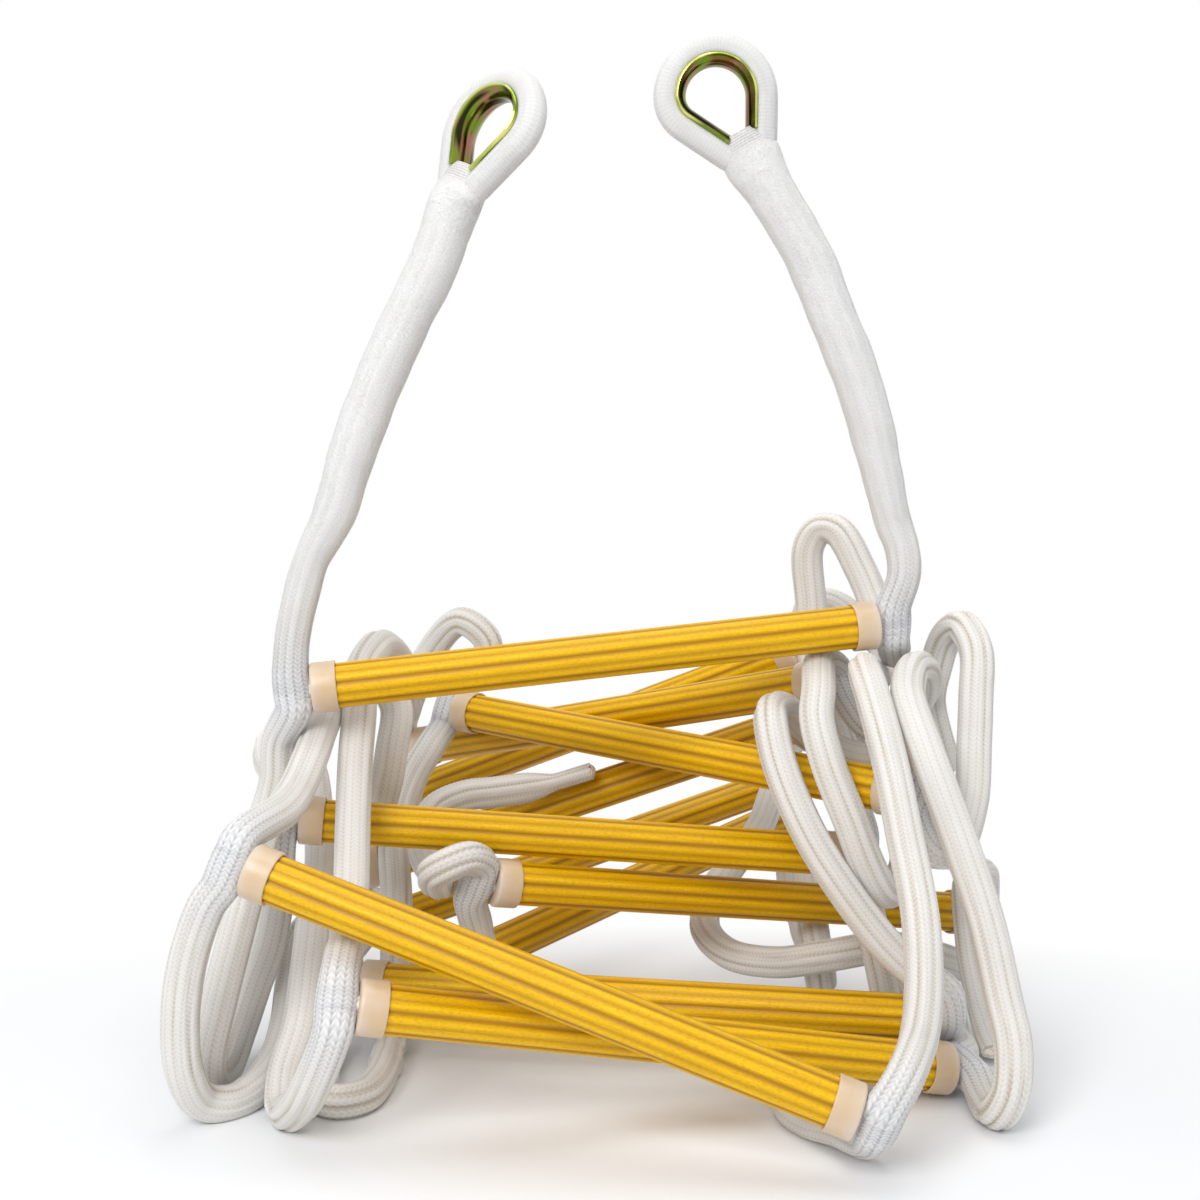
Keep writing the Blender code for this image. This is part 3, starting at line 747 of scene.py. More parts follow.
def smooth_line(points: Sequence[Vector], spacing: float = 1.2 * MM) -> tuple[np.ndarray, list[int]]:
    """Sample a centripetal Catmull-Rom curve.

    Args:
        points: points that the curve goes through.
        spacing: about how far apart the samples are.

    Returns:
        The samples, and the index of the sample at each point.
    """
    places = [np.array(point, dtype=float) for point in points]
    chain = [2 * places[0] - places[1]] + places + [2 * places[-1] - places[-2]]
    samples: list[np.ndarray] = []
    marks: list[int] = []
    for index in range(1, len(chain) - 2):
        quad = chain[index - 1:index + 3]
        knots = [0.0]
        for one, two in zip(quad, quad[1:]):
            knots.append(knots[-1] + math.sqrt(float(np.linalg.norm(two - one))))
        count = max(2, round(float(np.linalg.norm(quad[2] - quad[1])) / spacing))
        at = knots[1] + (knots[2] - knots[1]) * np.arange(count)[:, None] / count
        first = [
            ((knots[k + 1] - at) * quad[k] + (at - knots[k]) * quad[k + 1]) / (knots[k + 1] - knots[k])
            for k in range(3)
        ]
        second = [
            ((knots[k + 2] - at) * first[k] + (at - knots[k]) * first[k + 1]) / (knots[k + 2] - knots[k])
            for k in range(2)
        ]
        marks.append(len(samples))
        samples += list(((knots[2] - at) * second[0] + (at - knots[1]) * second[1]) / (knots[2] - knots[1]))
    marks.append(len(samples))
    samples.append(places[-1])
    return np.array(samples), marks


class Track:
    """Middle line of a rope, with two directions square to it at every sample."""

    ANY_WAY = (0.31, 0.17, 0.93)
    BEND_WINDOW = 9

    def __init__(self, centres: np.ndarray, upright: Vector | None = None) -> None:
        """Carry an upright along the line without turning it round the line.

        Args:
            centres: samples along the line.
            upright: direction to start from, or None for any.
        """
        self.centres = centres
        steps = np.diff(centres, axis=0)
        sizes = np.linalg.norm(steps, axis=1)
        self.along = np.concatenate([[0.0], np.cumsum(sizes)])
        ways = np.vstack([steps[:1], steps[:-1] + steps[1:], steps[-1:]])
        self.tangents = ways / np.linalg.norm(ways, axis=1)[:, None]
        start = np.array(upright if upright is not None else self.ANY_WAY)
        normals = np.empty_like(centres)
        for index, tangent in enumerate(self.tangents):
            start = start - tangent * float(start @ tangent)
            start = start / np.linalg.norm(start)
            normals[index] = start
        self.normals = normals
        self.binormals = np.cross(self.tangents, normals)
        turns = np.linalg.norm(np.gradient(self.tangents, self.along, axis=0), axis=1)
        window = np.ones(self.BEND_WINDOW) / self.BEND_WINDOW
        self.bends = np.convolve(np.pad(turns, self.BEND_WINDOW // 2, mode="edge"), window, mode="valid")

    @property
    def length(self) -> float:
        """Length of the line."""
        return float(self.along[-1])

    def carried(self, values: np.ndarray, at: np.ndarray) -> np.ndarray:
        """Values of the samples at any distances along the line.

        Args:
            values: one number or one vector for each sample.
            at: distances, of any shape.

        Returns:
            The values there, with the vector's axis last.
        """
        if values.ndim == 1:
            return np.interp(at, self.along, values)
        axes = [np.interp(at, self.along, values[:, axis]) for axis in range(values.shape[1])]
        return np.stack(axes, axis=-1)

    def points(self, start: float, stop: float, spacing: float) -> list[list[float]]:
        """Points of the middle line from start to stop, a spacing apart."""
        count = max(2, math.ceil((stop - start) / spacing)) + 1
        return self.carried(self.centres, np.linspace(start, stop, count)).tolist()


@dataclass(frozen=True)
class Grip:
    """Where a rung pulls on a side rope: how far along, and the way to the rung."""

    along: float
    inward: Vector


@dataclass(frozen=True)
class Braid:
    """Stitches and slack folds of a braided skin.

    Columns of slanted legs run along the rope, two to each V.  Away from the rungs the
    sheath is slack, so that it flattens and falls into folds along the rope.
    """

    sides: int = 48
    pitch: float = 2.4 * MM
    slant: float = 1.9 * MM
    seam: float = 0.5 * MM
    spine: float = 0.26 * MM
    stitch: float = 0.3 * MM
    folds: int = 7
    fold: float = 1.35 * MM
    swell: float = 1.2 * MM
    oval: float = 0.1
    grip_reach: float = 30.0 * MM
    fine_fade: float = 60.0 * MM
    ripple: float = 0.3 * MM
    shade_warmth: float = 1.0


class RopeSkin:
    """Braided surface round part of a track, on rows that the whole track shares."""

    def __init__(self, track: Track, braid: Braid, sizes: tuple[Sequence[float], Sequence[float]],
                 grips: Sequence[Grip] = (), fine_above: float = -1.0, tip_run: float = 0.0) -> None:
        """Describe the rope.

        Args:
            track: its middle line.
            braid: its stitches and folds.
            sizes: distances along the line, and the rope's diameter at each.
            grips: rungs that pull on it.
            fine_above: distance before which the skin is a fine weave.
            tip_run: length over which the free end is pressed flat.
        """
        self.track = track
        self.braid = braid
        self.sizes = sizes
        self.grips = grips
        self.fine_above = fine_above
        self.tip_run = tip_run

    def tightness(self, at: np.ndarray) -> np.ndarray:
        """How tight the sheath is, 1 beside a rung.

        Args:
            at: distances along the line.

        Returns:
            Tightness at each of them.
        """
        tight = np.zeros_like(at)
        for grip in self.grips:
            tight = np.maximum(tight, np.exp(-(((at - grip.along) / self.braid.grip_reach) ** 2)))
        return tight

    def fold_depth(self, at: np.ndarray, angle: np.ndarray, tight: np.ndarray) -> np.ndarray:
        """Depth of the slack folds, from 0 on their ridges to 1 in their grooves.

        Args:
            at: distances along the line.
            angle: angles round it.
            tight: how tight the sheath is there.

        Returns:
            Depth at each point.
        """
        drift = 1.9 * np.sin(at * 6.3) + 1.1 * np.sin(at * 17.0 + 1.0) + 0.4 * np.sin(at * 41.0)
        half = (self.braid.folds * angle + drift) / 2.0
        groove = (1.0 - np.abs(np.cos(half))) ** 1.5
        patch = 0.58 + 0.42 * np.sin(angle + 23.0 * at + 2.0 * np.sin(at * 9.0))
        return groove * patch * (1.0 - 0.85 * tight)

    def mesh(self, name: str, start: float, stop: float) -> bpy.types.Mesh:
        """Build the surface between two distances.

        Args:
            name: name of the mesh.
            start: where it starts along the track, to the nearest row.
            stop: where it stops, to the nearest row.

        Returns:
            Closed mesh of the rope.
        """
        braid = self.braid
        step = braid.pitch / 2.0
        rows = np.arange(round(start / step), round(stop / step) + 1)
        along = np.minimum(rows * step, self.track.length)
        columns = np.arange(braid.sides + 1)
        place = columns % 4
        turn = np.broadcast_to(math.tau * columns / braid.sides, (len(rows), len(columns)))
        at = along[:, None] + braid.slant * np.array([-0.5, 0.0, 0.5, 0.0])[place][None, :]
        centre = self.track.carried(self.track.centres, at)
        normal = self.track.carried(self.track.normals, at)
        binormal = self.track.carried(self.track.binormals, at)
        outward = normal * np.cos(turn)[..., None] + binormal * np.sin(turn)[..., None]
        outward /= np.linalg.norm(outward, axis=-1)[..., None]
        tight = self.tightness(at)
        bend = np.clip(self.track.carried(self.track.bends, at) * 0.014, 0.0, 1.0)
        plain = np.clip((self.fine_above - at) / braid.fine_fade, 0.0, 1.0)
        odd = (rows % 2)[:, None]
        border = np.array([braid.seam, 0.0, braid.spine, 0.0])[place][None, :]
        gap = braid.stitch * odd * (place % 2)[None, :]
        stitches = (border * (0.6 + 0.4 * odd) + gap) * (0.6 + 0.4 * tight) * (1.0 - 0.3 * plain)
        folds = self.fold_depth(at, turn, tight) * braid.fold * (0.6 + 0.7 * bend) * (1.0 - 0.7 * plain)
        wide = np.cross(self.track.tangents, (0.0, 1.0, 0.0))
        wide /= np.maximum(np.linalg.norm(wide, axis=1), 1e-6)[:, None]
        lean = np.sum(outward * self.track.carried(wide, at), axis=-1) ** 2
        radius = np.interp(at, *self.sizes) / 2.0 - stitches - folds
        radius *= 1.02 + braid.oval * (2.0 * lean - 1.0) * (1.0 - 0.5 * tight) * (1.0 - plain)
        radius += braid.ripple * plain * np.sin(at * 190.0 + 2.0 * turn) * np.sin(at * 57.0)
        for grip in self.grips:
            near = np.exp(-(((at - grip.along) / (braid.grip_reach / 2.6)) ** 2))
            radius += braid.swell * near * (0.8 + np.clip(outward @ np.array(grip.inward), 0.0, 1.0) ** 2)
        if self.tip_run > 0.0:
            pressed = np.clip((at - self.track.length + self.tip_run) / (0.5 * self.tip_run), 0.0, 1.0)
            radius *= 1.0 + pressed ** 2 * (0.04 - 0.7 * outward[..., 2] ** 2)
        places = centre + outward * radius[..., None]
        places[..., 2] = np.maximum(places[..., 2], 0.0)
        places[:, -1] = places[:, 0]
        # the hollow mark sets where the braid finish paints shade into stitches and folds, and the slack mark
        # how warm that painted shade is
        sunk = stitches / (0.5 * MM) + 0.75 * folds / max(braid.fold, 1.3 * MM)
        marks = {
            "hollow": np.clip(sunk, 0.0, 1.0) * (1.0 - 0.3 * plain),
            "slack": braid.shade_warmth * (1.0 - tight) * (1.0 - 0.65 * plain),
        }
        stitch = turn / math.tau * (braid.sides / 4), along[:, None] / braid.pitch
        flat = np.stack(np.broadcast_arrays(*stitch), axis=-1)
        return skin_grid(places, marks, flat, name)


# Rungs


class RungPose:
    """Where one rung lies: its middle, its axis and its two ends."""

    def __init__(self, number: int, ends: tuple[Point, Point], length: float) -> None:
        """Place the rung between two points.

        Args:
            number: its place in the ladder, from 1.
            ends: its left and right ends on the route.
            length: how long it really is.
        """
        low, high = (LAYOUT.place(point) for point in ends)
        self.number = number
        self.length = length
        self.middle = (low + high) / 2.0
        self.axis = (high - low).normalized()

    def outward(self, side: Side) -> Vector:
        """Way out of the rung at one end."""
        return -self.axis if side is Side.LEFT else self.axis

    def end(self, side: Side) -> Vector:
        """Centre of the collar's outer face on one side."""
        return self.middle + self.outward(side) * self.length / 2.0

    def matrix(self) -> Matrix:
        """Frame of the rung.

        Returns:
            Matrix that brings X along the rung, from its left end to its right.
        """
        side = self.axis.cross(Vector((0.0, 0.0, 1.0))).normalized()
        rise = side.cross(self.axis)
        return Matrix.Translation(self.middle) @ Matrix((self.axis, -side, rise)).transposed().to_4x4()


@dataclass
class Rung:
    """Ribbed tube with a collar on each end and a short rope through it."""

    pose: RungPose
    tube_radius: float = 12.5 * MM
    wall: float = 2.6 * MM
    ribs: int = 12
    rib_steps: int = 8
    rib_depth: float = 0.85 * MM
    end_wall: float = 2.0 * MM
    gap: float = 0.3 * MM
    collar_wall: float = 1.2 * MM
    collar_length: float = 14.0 * MM
    collar_round: float = 1.7 * MM
    collar_steps: int = 40
    core_diameter: float = 12.0 * MM
    core_past: float = 1.2 * MM
    core_braid: Braid = Braid(sides=16, pitch=5.0 * MM, slant=2.4 * MM, fold=0.0, swell=0.0, oval=0.0)

    def tube(self) -> bpy.types.Mesh:
        """Build the tube from a ribbed ring.

        Returns:
            Tube with its flutes marked as hollows, where the finish paints shade, and a UV map in metres.
        """
        shape = bmesh.new()
        uvs = shape.loops.layers.uv.new("UVMap")
        depth = shape.verts.layers.float.new("hollow")
        half = self.pose.length / 2.0 - self.end_wall - self.gap
        count = self.ribs * self.rib_steps
        upright = Matrix.Rotation(math.pi / 2.0, 4, "Y")
        turn = Matrix.Translation((-half, 0.0, 0.0)) @ upright
        ring = bmesh.ops.create_circle(shape, segments=count, radius=self.tube_radius, matrix=turn)["verts"]
        for vert in ring:
            angle = math.atan2(vert.co.z, vert.co.y)
            turn_share = self.ribs * angle / math.tau
            depth_share = 1.0 if round(turn_share - 0.5) % 2 else 0.55
            share = depth_share * (1.0 - abs(math.cos(math.pi * turn_share)) ** 1.3)
            vert.co.yz *= 1.0 - share * self.rib_depth / self.tube_radius
            # the hollow mark sets how much shade the finish paints into each flute
            vert[depth] = min(1.0, share * 1.15)
        made = bmesh.ops.extrude_edge_only(shape, edges=list(shape.edges))["geom"]
        moved = [part for part in made if isinstance(part, bmesh.types.BMVert)]
        bmesh.ops.translate(shape, verts=moved, vec=(2 * half, 0, 0))
        rims = {
            sign: [e for e in shape.edges if all(v.co.x * sign > half * 0.9 for v in e.verts)]
            for sign in (-1, 1)
        }
        for sign in (-1, 1):
            bore = bmesh.ops.create_circle(
                shape, segments=count, radius=self.tube_radius - self.wall,
                matrix=Matrix.Translation((sign * half, 0.0, 0.0)) @ upright,
            )["verts"]
            rims[sign * 2] = [e for e in shape.edges if all(v in bore for v in e.verts)]
            bmesh.ops.bridge_loops(shape, edges=rims[sign] + rims[sign * 2])
        bmesh.ops.bridge_loops(shape, edges=rims[-2] + rims[2])
        for face in shape.faces:
            middle = face.calc_center_median()
            about = math.atan2(middle.z, middle.y)
            for corner in face.loops:
                place = corner.vert.co
                angle = math.atan2(place.z, place.y)
                angle += math.tau * round((about - angle) / math.tau)
                corner[uvs].uv = (angle * self.tube_radius, place.x)
        mesh = finish_mesh(shape, f"rung_{self.pose.number:02d}_tube_mesh", 30.0)
        mesh.transform(self.pose.matrix())
        return mesh

    def collar(self, side: Side) -> bpy.types.Mesh:
        """Build a collar by spinning its section.

        Args:
            side: end of the rung that it is on.

        Returns:
            Cup with rounded edges and a hole for the rope.
        """
        inner = self.tube_radius + self.gap
        outer = inner + self.collar_wall
        hole = self.core_diameter / 2.0 + self.gap
        bow, lip = self.collar_round, self.collar_wall * 0.45
        section = [(0.0, hole), (0.0, outer - bow)]
        section += [
            (bow - bow * math.cos(a), outer - bow + bow * math.sin(a))
            for a in np.linspace(0.2, math.pi / 2.0, 6)
        ]
        section += [(self.collar_length * share, outer) for share in (0.3, 0.5, 0.7)]
        section += [
            (self.collar_length - lip + lip * math.sin(a), outer - lip + lip * math.cos(a))
            for a in np.linspace(0.0, math.pi / 2.0, 4)
        ]
        section += [(self.collar_length, inner), (self.end_wall, inner), (self.end_wall, hole)]
        shape = bmesh.new()
        depth = shape.verts.layers.float.new("hollow")
        knots = [shape.verts.new((x, 0.0, radius)) for x, radius in section]
        edges = [shape.edges.new(pair) for pair in zip(knots, knots[1:] + knots[:1])]
        bmesh.ops.spin(
            shape, geom=knots + edges, cent=(0, 0, 0), axis=(1, 0, 0), dvec=(0, 0, 0), angle=math.tau,
            steps=self.collar_steps, use_merge=True, use_normal_flip=False, use_duplicate=False,
        )
        bmesh.ops.remove_doubles(shape, verts=shape.verts, dist=1e-6)
        for vert in shape.verts:
            vert[depth] = min(1.0, max(0.0, (vert.co.x - 2.0 * MM) / (4.0 * MM)))
        mesh = finish_mesh(shape, f"rung_{self.pose.number:02d}_{side.value}_collar_mesh", 45.0)
        place = Matrix.Translation((-self.pose.length / 2.0, 0.0, 0.0))
        if side is Side.RIGHT:
            place = Matrix.Rotation(math.pi, 4, "Z") @ place
        mesh.transform(self.pose.matrix() @ place)
        return mesh

    def core(self) -> bpy.types.Mesh:
        """Build the short rope through the rung.

        Returns:
            Braided rope that stands a little out of both collars.
        """
        pose = self.pose
        reach = pose.length / 2.0 + self.core_past
        line = np.array([pose.middle + pose.axis * reach * share for share in np.linspace(-1.0, 1.0, 40)])
        skin = RopeSkin(Track(line), self.core_braid, ((0.0, 1.0), (self.core_diameter, self.core_diameter)))
        return skin.mesh(f"rung_{self.pose.number:02d}_core_mesh", 0.0, 2.0 * reach)

    def build(self, finishes: Finishes) -> None:
        """Add the rung's pieces in place of its CAD nodes.

        Args:
            finishes: the ladder's materials.
        """
        name = f"rung_{self.pose.number:02d}"
        made = [
            (f"{name}_tube", self.tube(), finishes.tube, Slot.TUBE),
            (f"{name}_core", self.core(), finishes.rope, Slot.CORE),
        ]
        for side in Side:
            made.append((f"{name}_{side.value}_collar", self.collar(side), finishes.collar, Slot.COLLAR))
        for node, mesh, material, slot in made:
            piece = add_piece(f"dressed_{node}", mesh, material)
            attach(piece, Body.PILE.value)
            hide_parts(node)


# Eye splices


@dataclass(frozen=True)
class SpliceRoute:
    """Where one splice stands.

    swing is the bend above the first rung, eye the zero point of the eye's plane, facing
    the way that the eye looks, throat the way down from the eye, and leg the route up to
    the throat as x, y, z and a share of the splice's diameter.
    """

    side: Side
    swing: Point
    eye: Point
    facing: Point
    throat: Point
    leg: tuple[tuple[float, float, float, float], ...]

    def frame(self) -> Matrix:
        """Frame of the eye.

        Returns:
            Matrix with X across the eye, Y up and Z the way that it faces.
        """
        up = -Vector(self.throat).normalized()
        facing = Vector(self.facing)
        facing = (facing - up * facing.dot(up)).normalized()
        across = up.cross(facing)
        return Matrix.Translation(LAYOUT.place(self.eye)) @ Matrix((across, up, facing)).transposed().to_4x4()


SPLICES: tuple[SpliceRoute, ...] = (
    SpliceRoute(
        Side.LEFT, (-168.1, -102.1, 245.1), (-59.4, -75.6, 522), (-0.71, -0.71, 0.0), (-0.44, -0.04, -0.90),
        ((-164, -100, 266, 0.7), (-158, -96, 288, 0.73), (-146, -93, 312, 0.87), (-136, -90, 345, 0.97),
         (-123, -87, 380, 1.0), (-107, -84, 416, 1.0), (-91, -82, 448, 1.02)),
    ),
    SpliceRoute(
        Side.RIGHT, (173.8, -61, 277), (67, -44, 546.5), (0.0, -1.0, 0.0), (0.477, -0.02, -0.879),
        ((173, -57, 292, 0.71), (168, -53, 308, 0.76), (162, -52, 333, 0.87), (154, -51, 365, 0.97),
         (145, -50, 393, 1.0), (132, -49, 424, 1.0), (118, -47, 458, 1.02)),
    ),
)


@dataclass
class EyeSplice:
    """Eye of a side rope: its strand, its thimble and the whipping at its throat.

    whip_section is the whipping's drop below the eye's zero point, half width and half
    depth, and tucks the strand's way across and drop inside it, in millimetres.
    """

    route: SpliceRoute
    strand_diameter: float = 16.0 * MM
    radius: float = 27.0 * MM
    corner_radius: float = 19.5 * MM
    corner_from: float = math.radians(149.0)
    half_angle: float = math.radians(28.5)
    strand_drop: float = 32.0 * MM
    thimble_drop: float = 29.0 * MM
    thimble_wall: float = 1.6 * MM
    thimble_rim: float = 1.6 * MM
    thimble_span: float = math.radians(52.0)
    thimble_gap: float = 0.6 * MM
    whip_top: float = 24.0 * MM
    whip_pitch: float = 1.5 * MM
    whip_height: float = 0.3 * MM
    whip_sides: int = 48
    whip_section: tuple[Point, ...] = (
        (24.0, 10.0, 8.4), (26.0, 12.0, 9.4), (29.0, 13.8, 10.1), (33.0, 15.6, 10.8),
        (38.0, 16.8, 11.6), (42.0, 16.9, 12.4), (47.0, 16.2, 13.3), (53.0, 15.0, 13.8),
    )
    tucks: tuple[tuple[float, float], ...] = ((7.4, 39.0), (6.0, 46.0), (5.4, 54.0))
    tuck_diameters: tuple[float, float] = (14.5 * MM, 11.0 * MM)
    braid: Braid = Braid(pitch=2.0 * MM, slant=0.5 * MM, seam=0.2 * MM, spine=0.1 * MM, stitch=0.28 * MM,
                         fold=0.4 * MM, oval=0.0, shade_warmth=0.35)

    def eye_path(self, drop_far: float, steps: int = 26) -> list[tuple[float, float]]:
        """Rope's middle round the eye in the eye's own plane.

        Args:
            drop_far: how far below the zero point both ends are.
            steps: points on the wide arc.

        Returns:
            Points as across and up, from side to side: a wide arc over the top, a tighter
            one at one lower corner, and a straight run down each side.
        """
        tighter = self.radius - self.corner_radius
        nearer = tighter * (1.0 - math.cos(math.pi + self.half_angle - self.corner_from))
        shift = nearer / (2.0 * math.cos(self.half_angle))
        apex = (2.0 * self.radius - nearer) / (2.0 * math.sin(self.half_angle))
        corner = (tighter * math.cos(self.corner_from) - shift, tighter * math.sin(self.corner_from))
        arc = [
            (self.radius * math.cos(a) - shift, self.radius * math.sin(a))
            for a in np.linspace(-self.half_angle, self.corner_from, steps)
        ] + [
            (corner[0] + self.corner_radius * math.cos(a), corner[1] + self.corner_radius * math.sin(a))
            for a in np.linspace(self.corner_from, math.pi + self.half_angle, steps // 2)[1:]
        ]
        foot = (apex - drop_far) * math.tan(self.half_angle)
        path = [(foot, -drop_far)] + arc + [(-foot, -drop_far)]
        return path if self.route.side is Side.RIGHT else [(-x, y) for x, y in reversed(path)]

    def strand(self) -> bpy.types.Mesh:
        """Build the rope round the eye.

        Returns:
            Fine braid whose thinner ends are tucked into the throat.
        """
        frame = self.route.frame()
        tucks = [(across * MM, drop * MM) for across, drop in self.tucks]
        right = [(x, -drop) for x, drop in reversed(tucks)]
        left = [(-x, -drop) for x, drop in tucks]
        line = right + self.eye_path(self.strand_drop) + left
        samples, marks = smooth_line([frame @ Vector((x, y, 0.0)) for x, y in line])
        track = Track(samples, frame.to_3x3() @ Vector((0.0, 0.0, 1.0)))
        ends = (track.along[marks[2]], track.along[marks[3]], track.along[marks[-4]], track.along[marks[-3]])
        full = self.strand_diameter
        thinner, thin = self.tuck_diameters
        sizes = ((0.0, *ends, track.length), (thin, thinner, full, full, thinner, thin))
        skin = RopeSkin(track, self.braid, sizes)
        return skin.mesh(f"{self.route.side.value}_eye_strand_mesh", 0.0, track.length)

    def thimble(self) -> bpy.types.Mesh:
        """Build the channel that lines the eye.

        Returns:
            Channel with rolled rims, a UV map in metres and its inner face marked hollow.
        """
        frame = self.route.frame()
        line = self.eye_path(self.thimble_drop, 40)
        path = [Vector((x, y, 0.0)) for x, y in line]
        feet = [path[0].lerp(path[1], share) for share in (0.0, 0.33, 0.67)]
        tips = [path[-1].lerp(path[-2], share) for share in (0.67, 0.33, 0.0)]
        path = feet + path[1:-1] + tips
        groove = self.strand_diameter / 2.0 + self.thimble_gap
        middle = groove + self.thimble_wall / 2.0
        angles = np.linspace(-self.thimble_span, self.thimble_span, 13)
        section = [(groove, a, 0.0) for a in angles]
        for sign in (1.0, -1.0):
            tip = sign * (self.thimble_span + 0.05)
            across, facing = middle * math.cos(tip), middle * math.sin(tip)
            rim = []
            for a in np.linspace(0.0, math.pi, 6)[1:-1]:
                turn = tip + math.pi - sign * a
                x = across + self.thimble_rim * math.cos(turn)
                z = facing + self.thimble_rim * math.sin(turn)
                rim.append((math.hypot(x, z), math.atan2(z, x), 0.0))
            if sign > 0.0:
                section += rim + [(groove + self.thimble_wall, a, 1.0) for a in reversed(angles)]
            else:
                section += list(reversed(rim))
        section.append(section[0])
        rows = []
        for index, place in enumerate(path):
            before, after = path[max(index - 1, 0)], path[min(index + 1, len(path) - 1)]
            way = (after - before).normalized()
            inward = Vector((-way.y, way.x, 0.0))
            rows.append([frame @ (place + inward * r * math.cos(a) + Vector((0.0, 0.0, r * math.sin(a))))
                         for r, a, _ in section])
        along = np.concatenate([[0.0], np.cumsum([(b - a).length for a, b in zip(path, path[1:])])])
        hollow = np.broadcast_to(np.array([mark for _, _, mark in section]), (len(path), len(section)))
        across = np.array([r * a for r, a, _ in section])
        flat = np.stack(np.broadcast_arrays(along[:, None], across[None, :]), axis=-1)
        name = f"{self.route.side.value}_thimble_mesh"
        return skin_grid(np.array(rows), {"hollow": hollow}, flat, name, 50.0)

    def whipping(self, track: Track, leg_radius: float) -> bpy.types.Mesh:
        """Build the twine wound round the throat.

        Args:
            track: middle line of the leg, from the throat down.
            leg_radius: radius of the leg under the twine's last turns.

        Returns:
            Flattened wrap between the strands that turns round where they meet.
        """
        last = leg_radius / MM
        onto_leg = ((60.0, last + 0.5, last + 0.4), (68.0, last - 0.8, last - 0.8))
        drops, wide, deep = (np.array([*self.whip_section, *onto_leg]) * MM).T
        sides = self.whip_sides
        rows = round((drops[-1] - drops[0]) / (self.whip_pitch / 2.0)) + 1
        drop = np.linspace(drops[0], drops[-1], rows)
        at = drop - self.whip_top
        angle = math.tau * np.arange(sides + 1) / sides
        centre = track.carried(track.centres, at)[:, None, :]
        normal = track.carried(track.normals, at)[:, None, :]
        binormal = track.carried(track.binormals, at)[:, None, :]
        wound = (np.arange(rows) % 2) * (0.25 + 0.75 * np.clip((36.0 * MM - drop) / (4.0 * MM), 0.0, 1.0))
        ridge = self.whip_height * wound
        half_wide = (np.interp(drop, drops, wide) - ridge)[:, None, None]
        half_deep = (np.interp(drop, drops, deep) - ridge)[:, None, None]
        across = normal * half_wide * np.cos(angle)[None, :, None]
        through = binormal * half_deep * np.sin(angle)[None, :, None]
        places = centre + across + through
        places[:, -1] = places[:, 0]
        # hollow paints shade between the turns; slack sets how warm that painted shade is
        marks = {
            "hollow": np.broadcast_to(0.7 * wound[:, None], (rows, sides + 1)),
            "slack": np.full((rows, sides + 1), 0.35),
        }
        wrap = angle[None, :] / math.tau * 8.0, (at / (2.0 * MM))[:, None]
        flat = np.stack(np.broadcast_arrays(*wrap), axis=-1)
        return skin_grid(places, marks, flat, f"{self.route.side.value}_whipping_mesh")

    def build(self, finishes: Finishes, track: Track, leg_radius: float) -> None:
        """Add the eye's pieces.

        Args:
            finishes: the ladder's materials.
            track: middle line of the leg, from the throat down.
            leg_radius: radius of the leg below the throat.
        """
        side, rope = self.route.side.value, finishes.smooth_rope
        strand = add_piece(f"{side}_eye_strand", self.strand(), rope)
        whipping = add_piece(f"{side}_whipping", self.whipping(track, leg_radius), rope)
        thimble = add_piece(f"{side}_plated_thimble", self.thimble(), finishes.steel)
        for piece in (strand, whipping, thimble):
            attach(piece, Body.leg(self.route.side).value)
        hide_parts(f"{side}_thimble")


# Side ropes


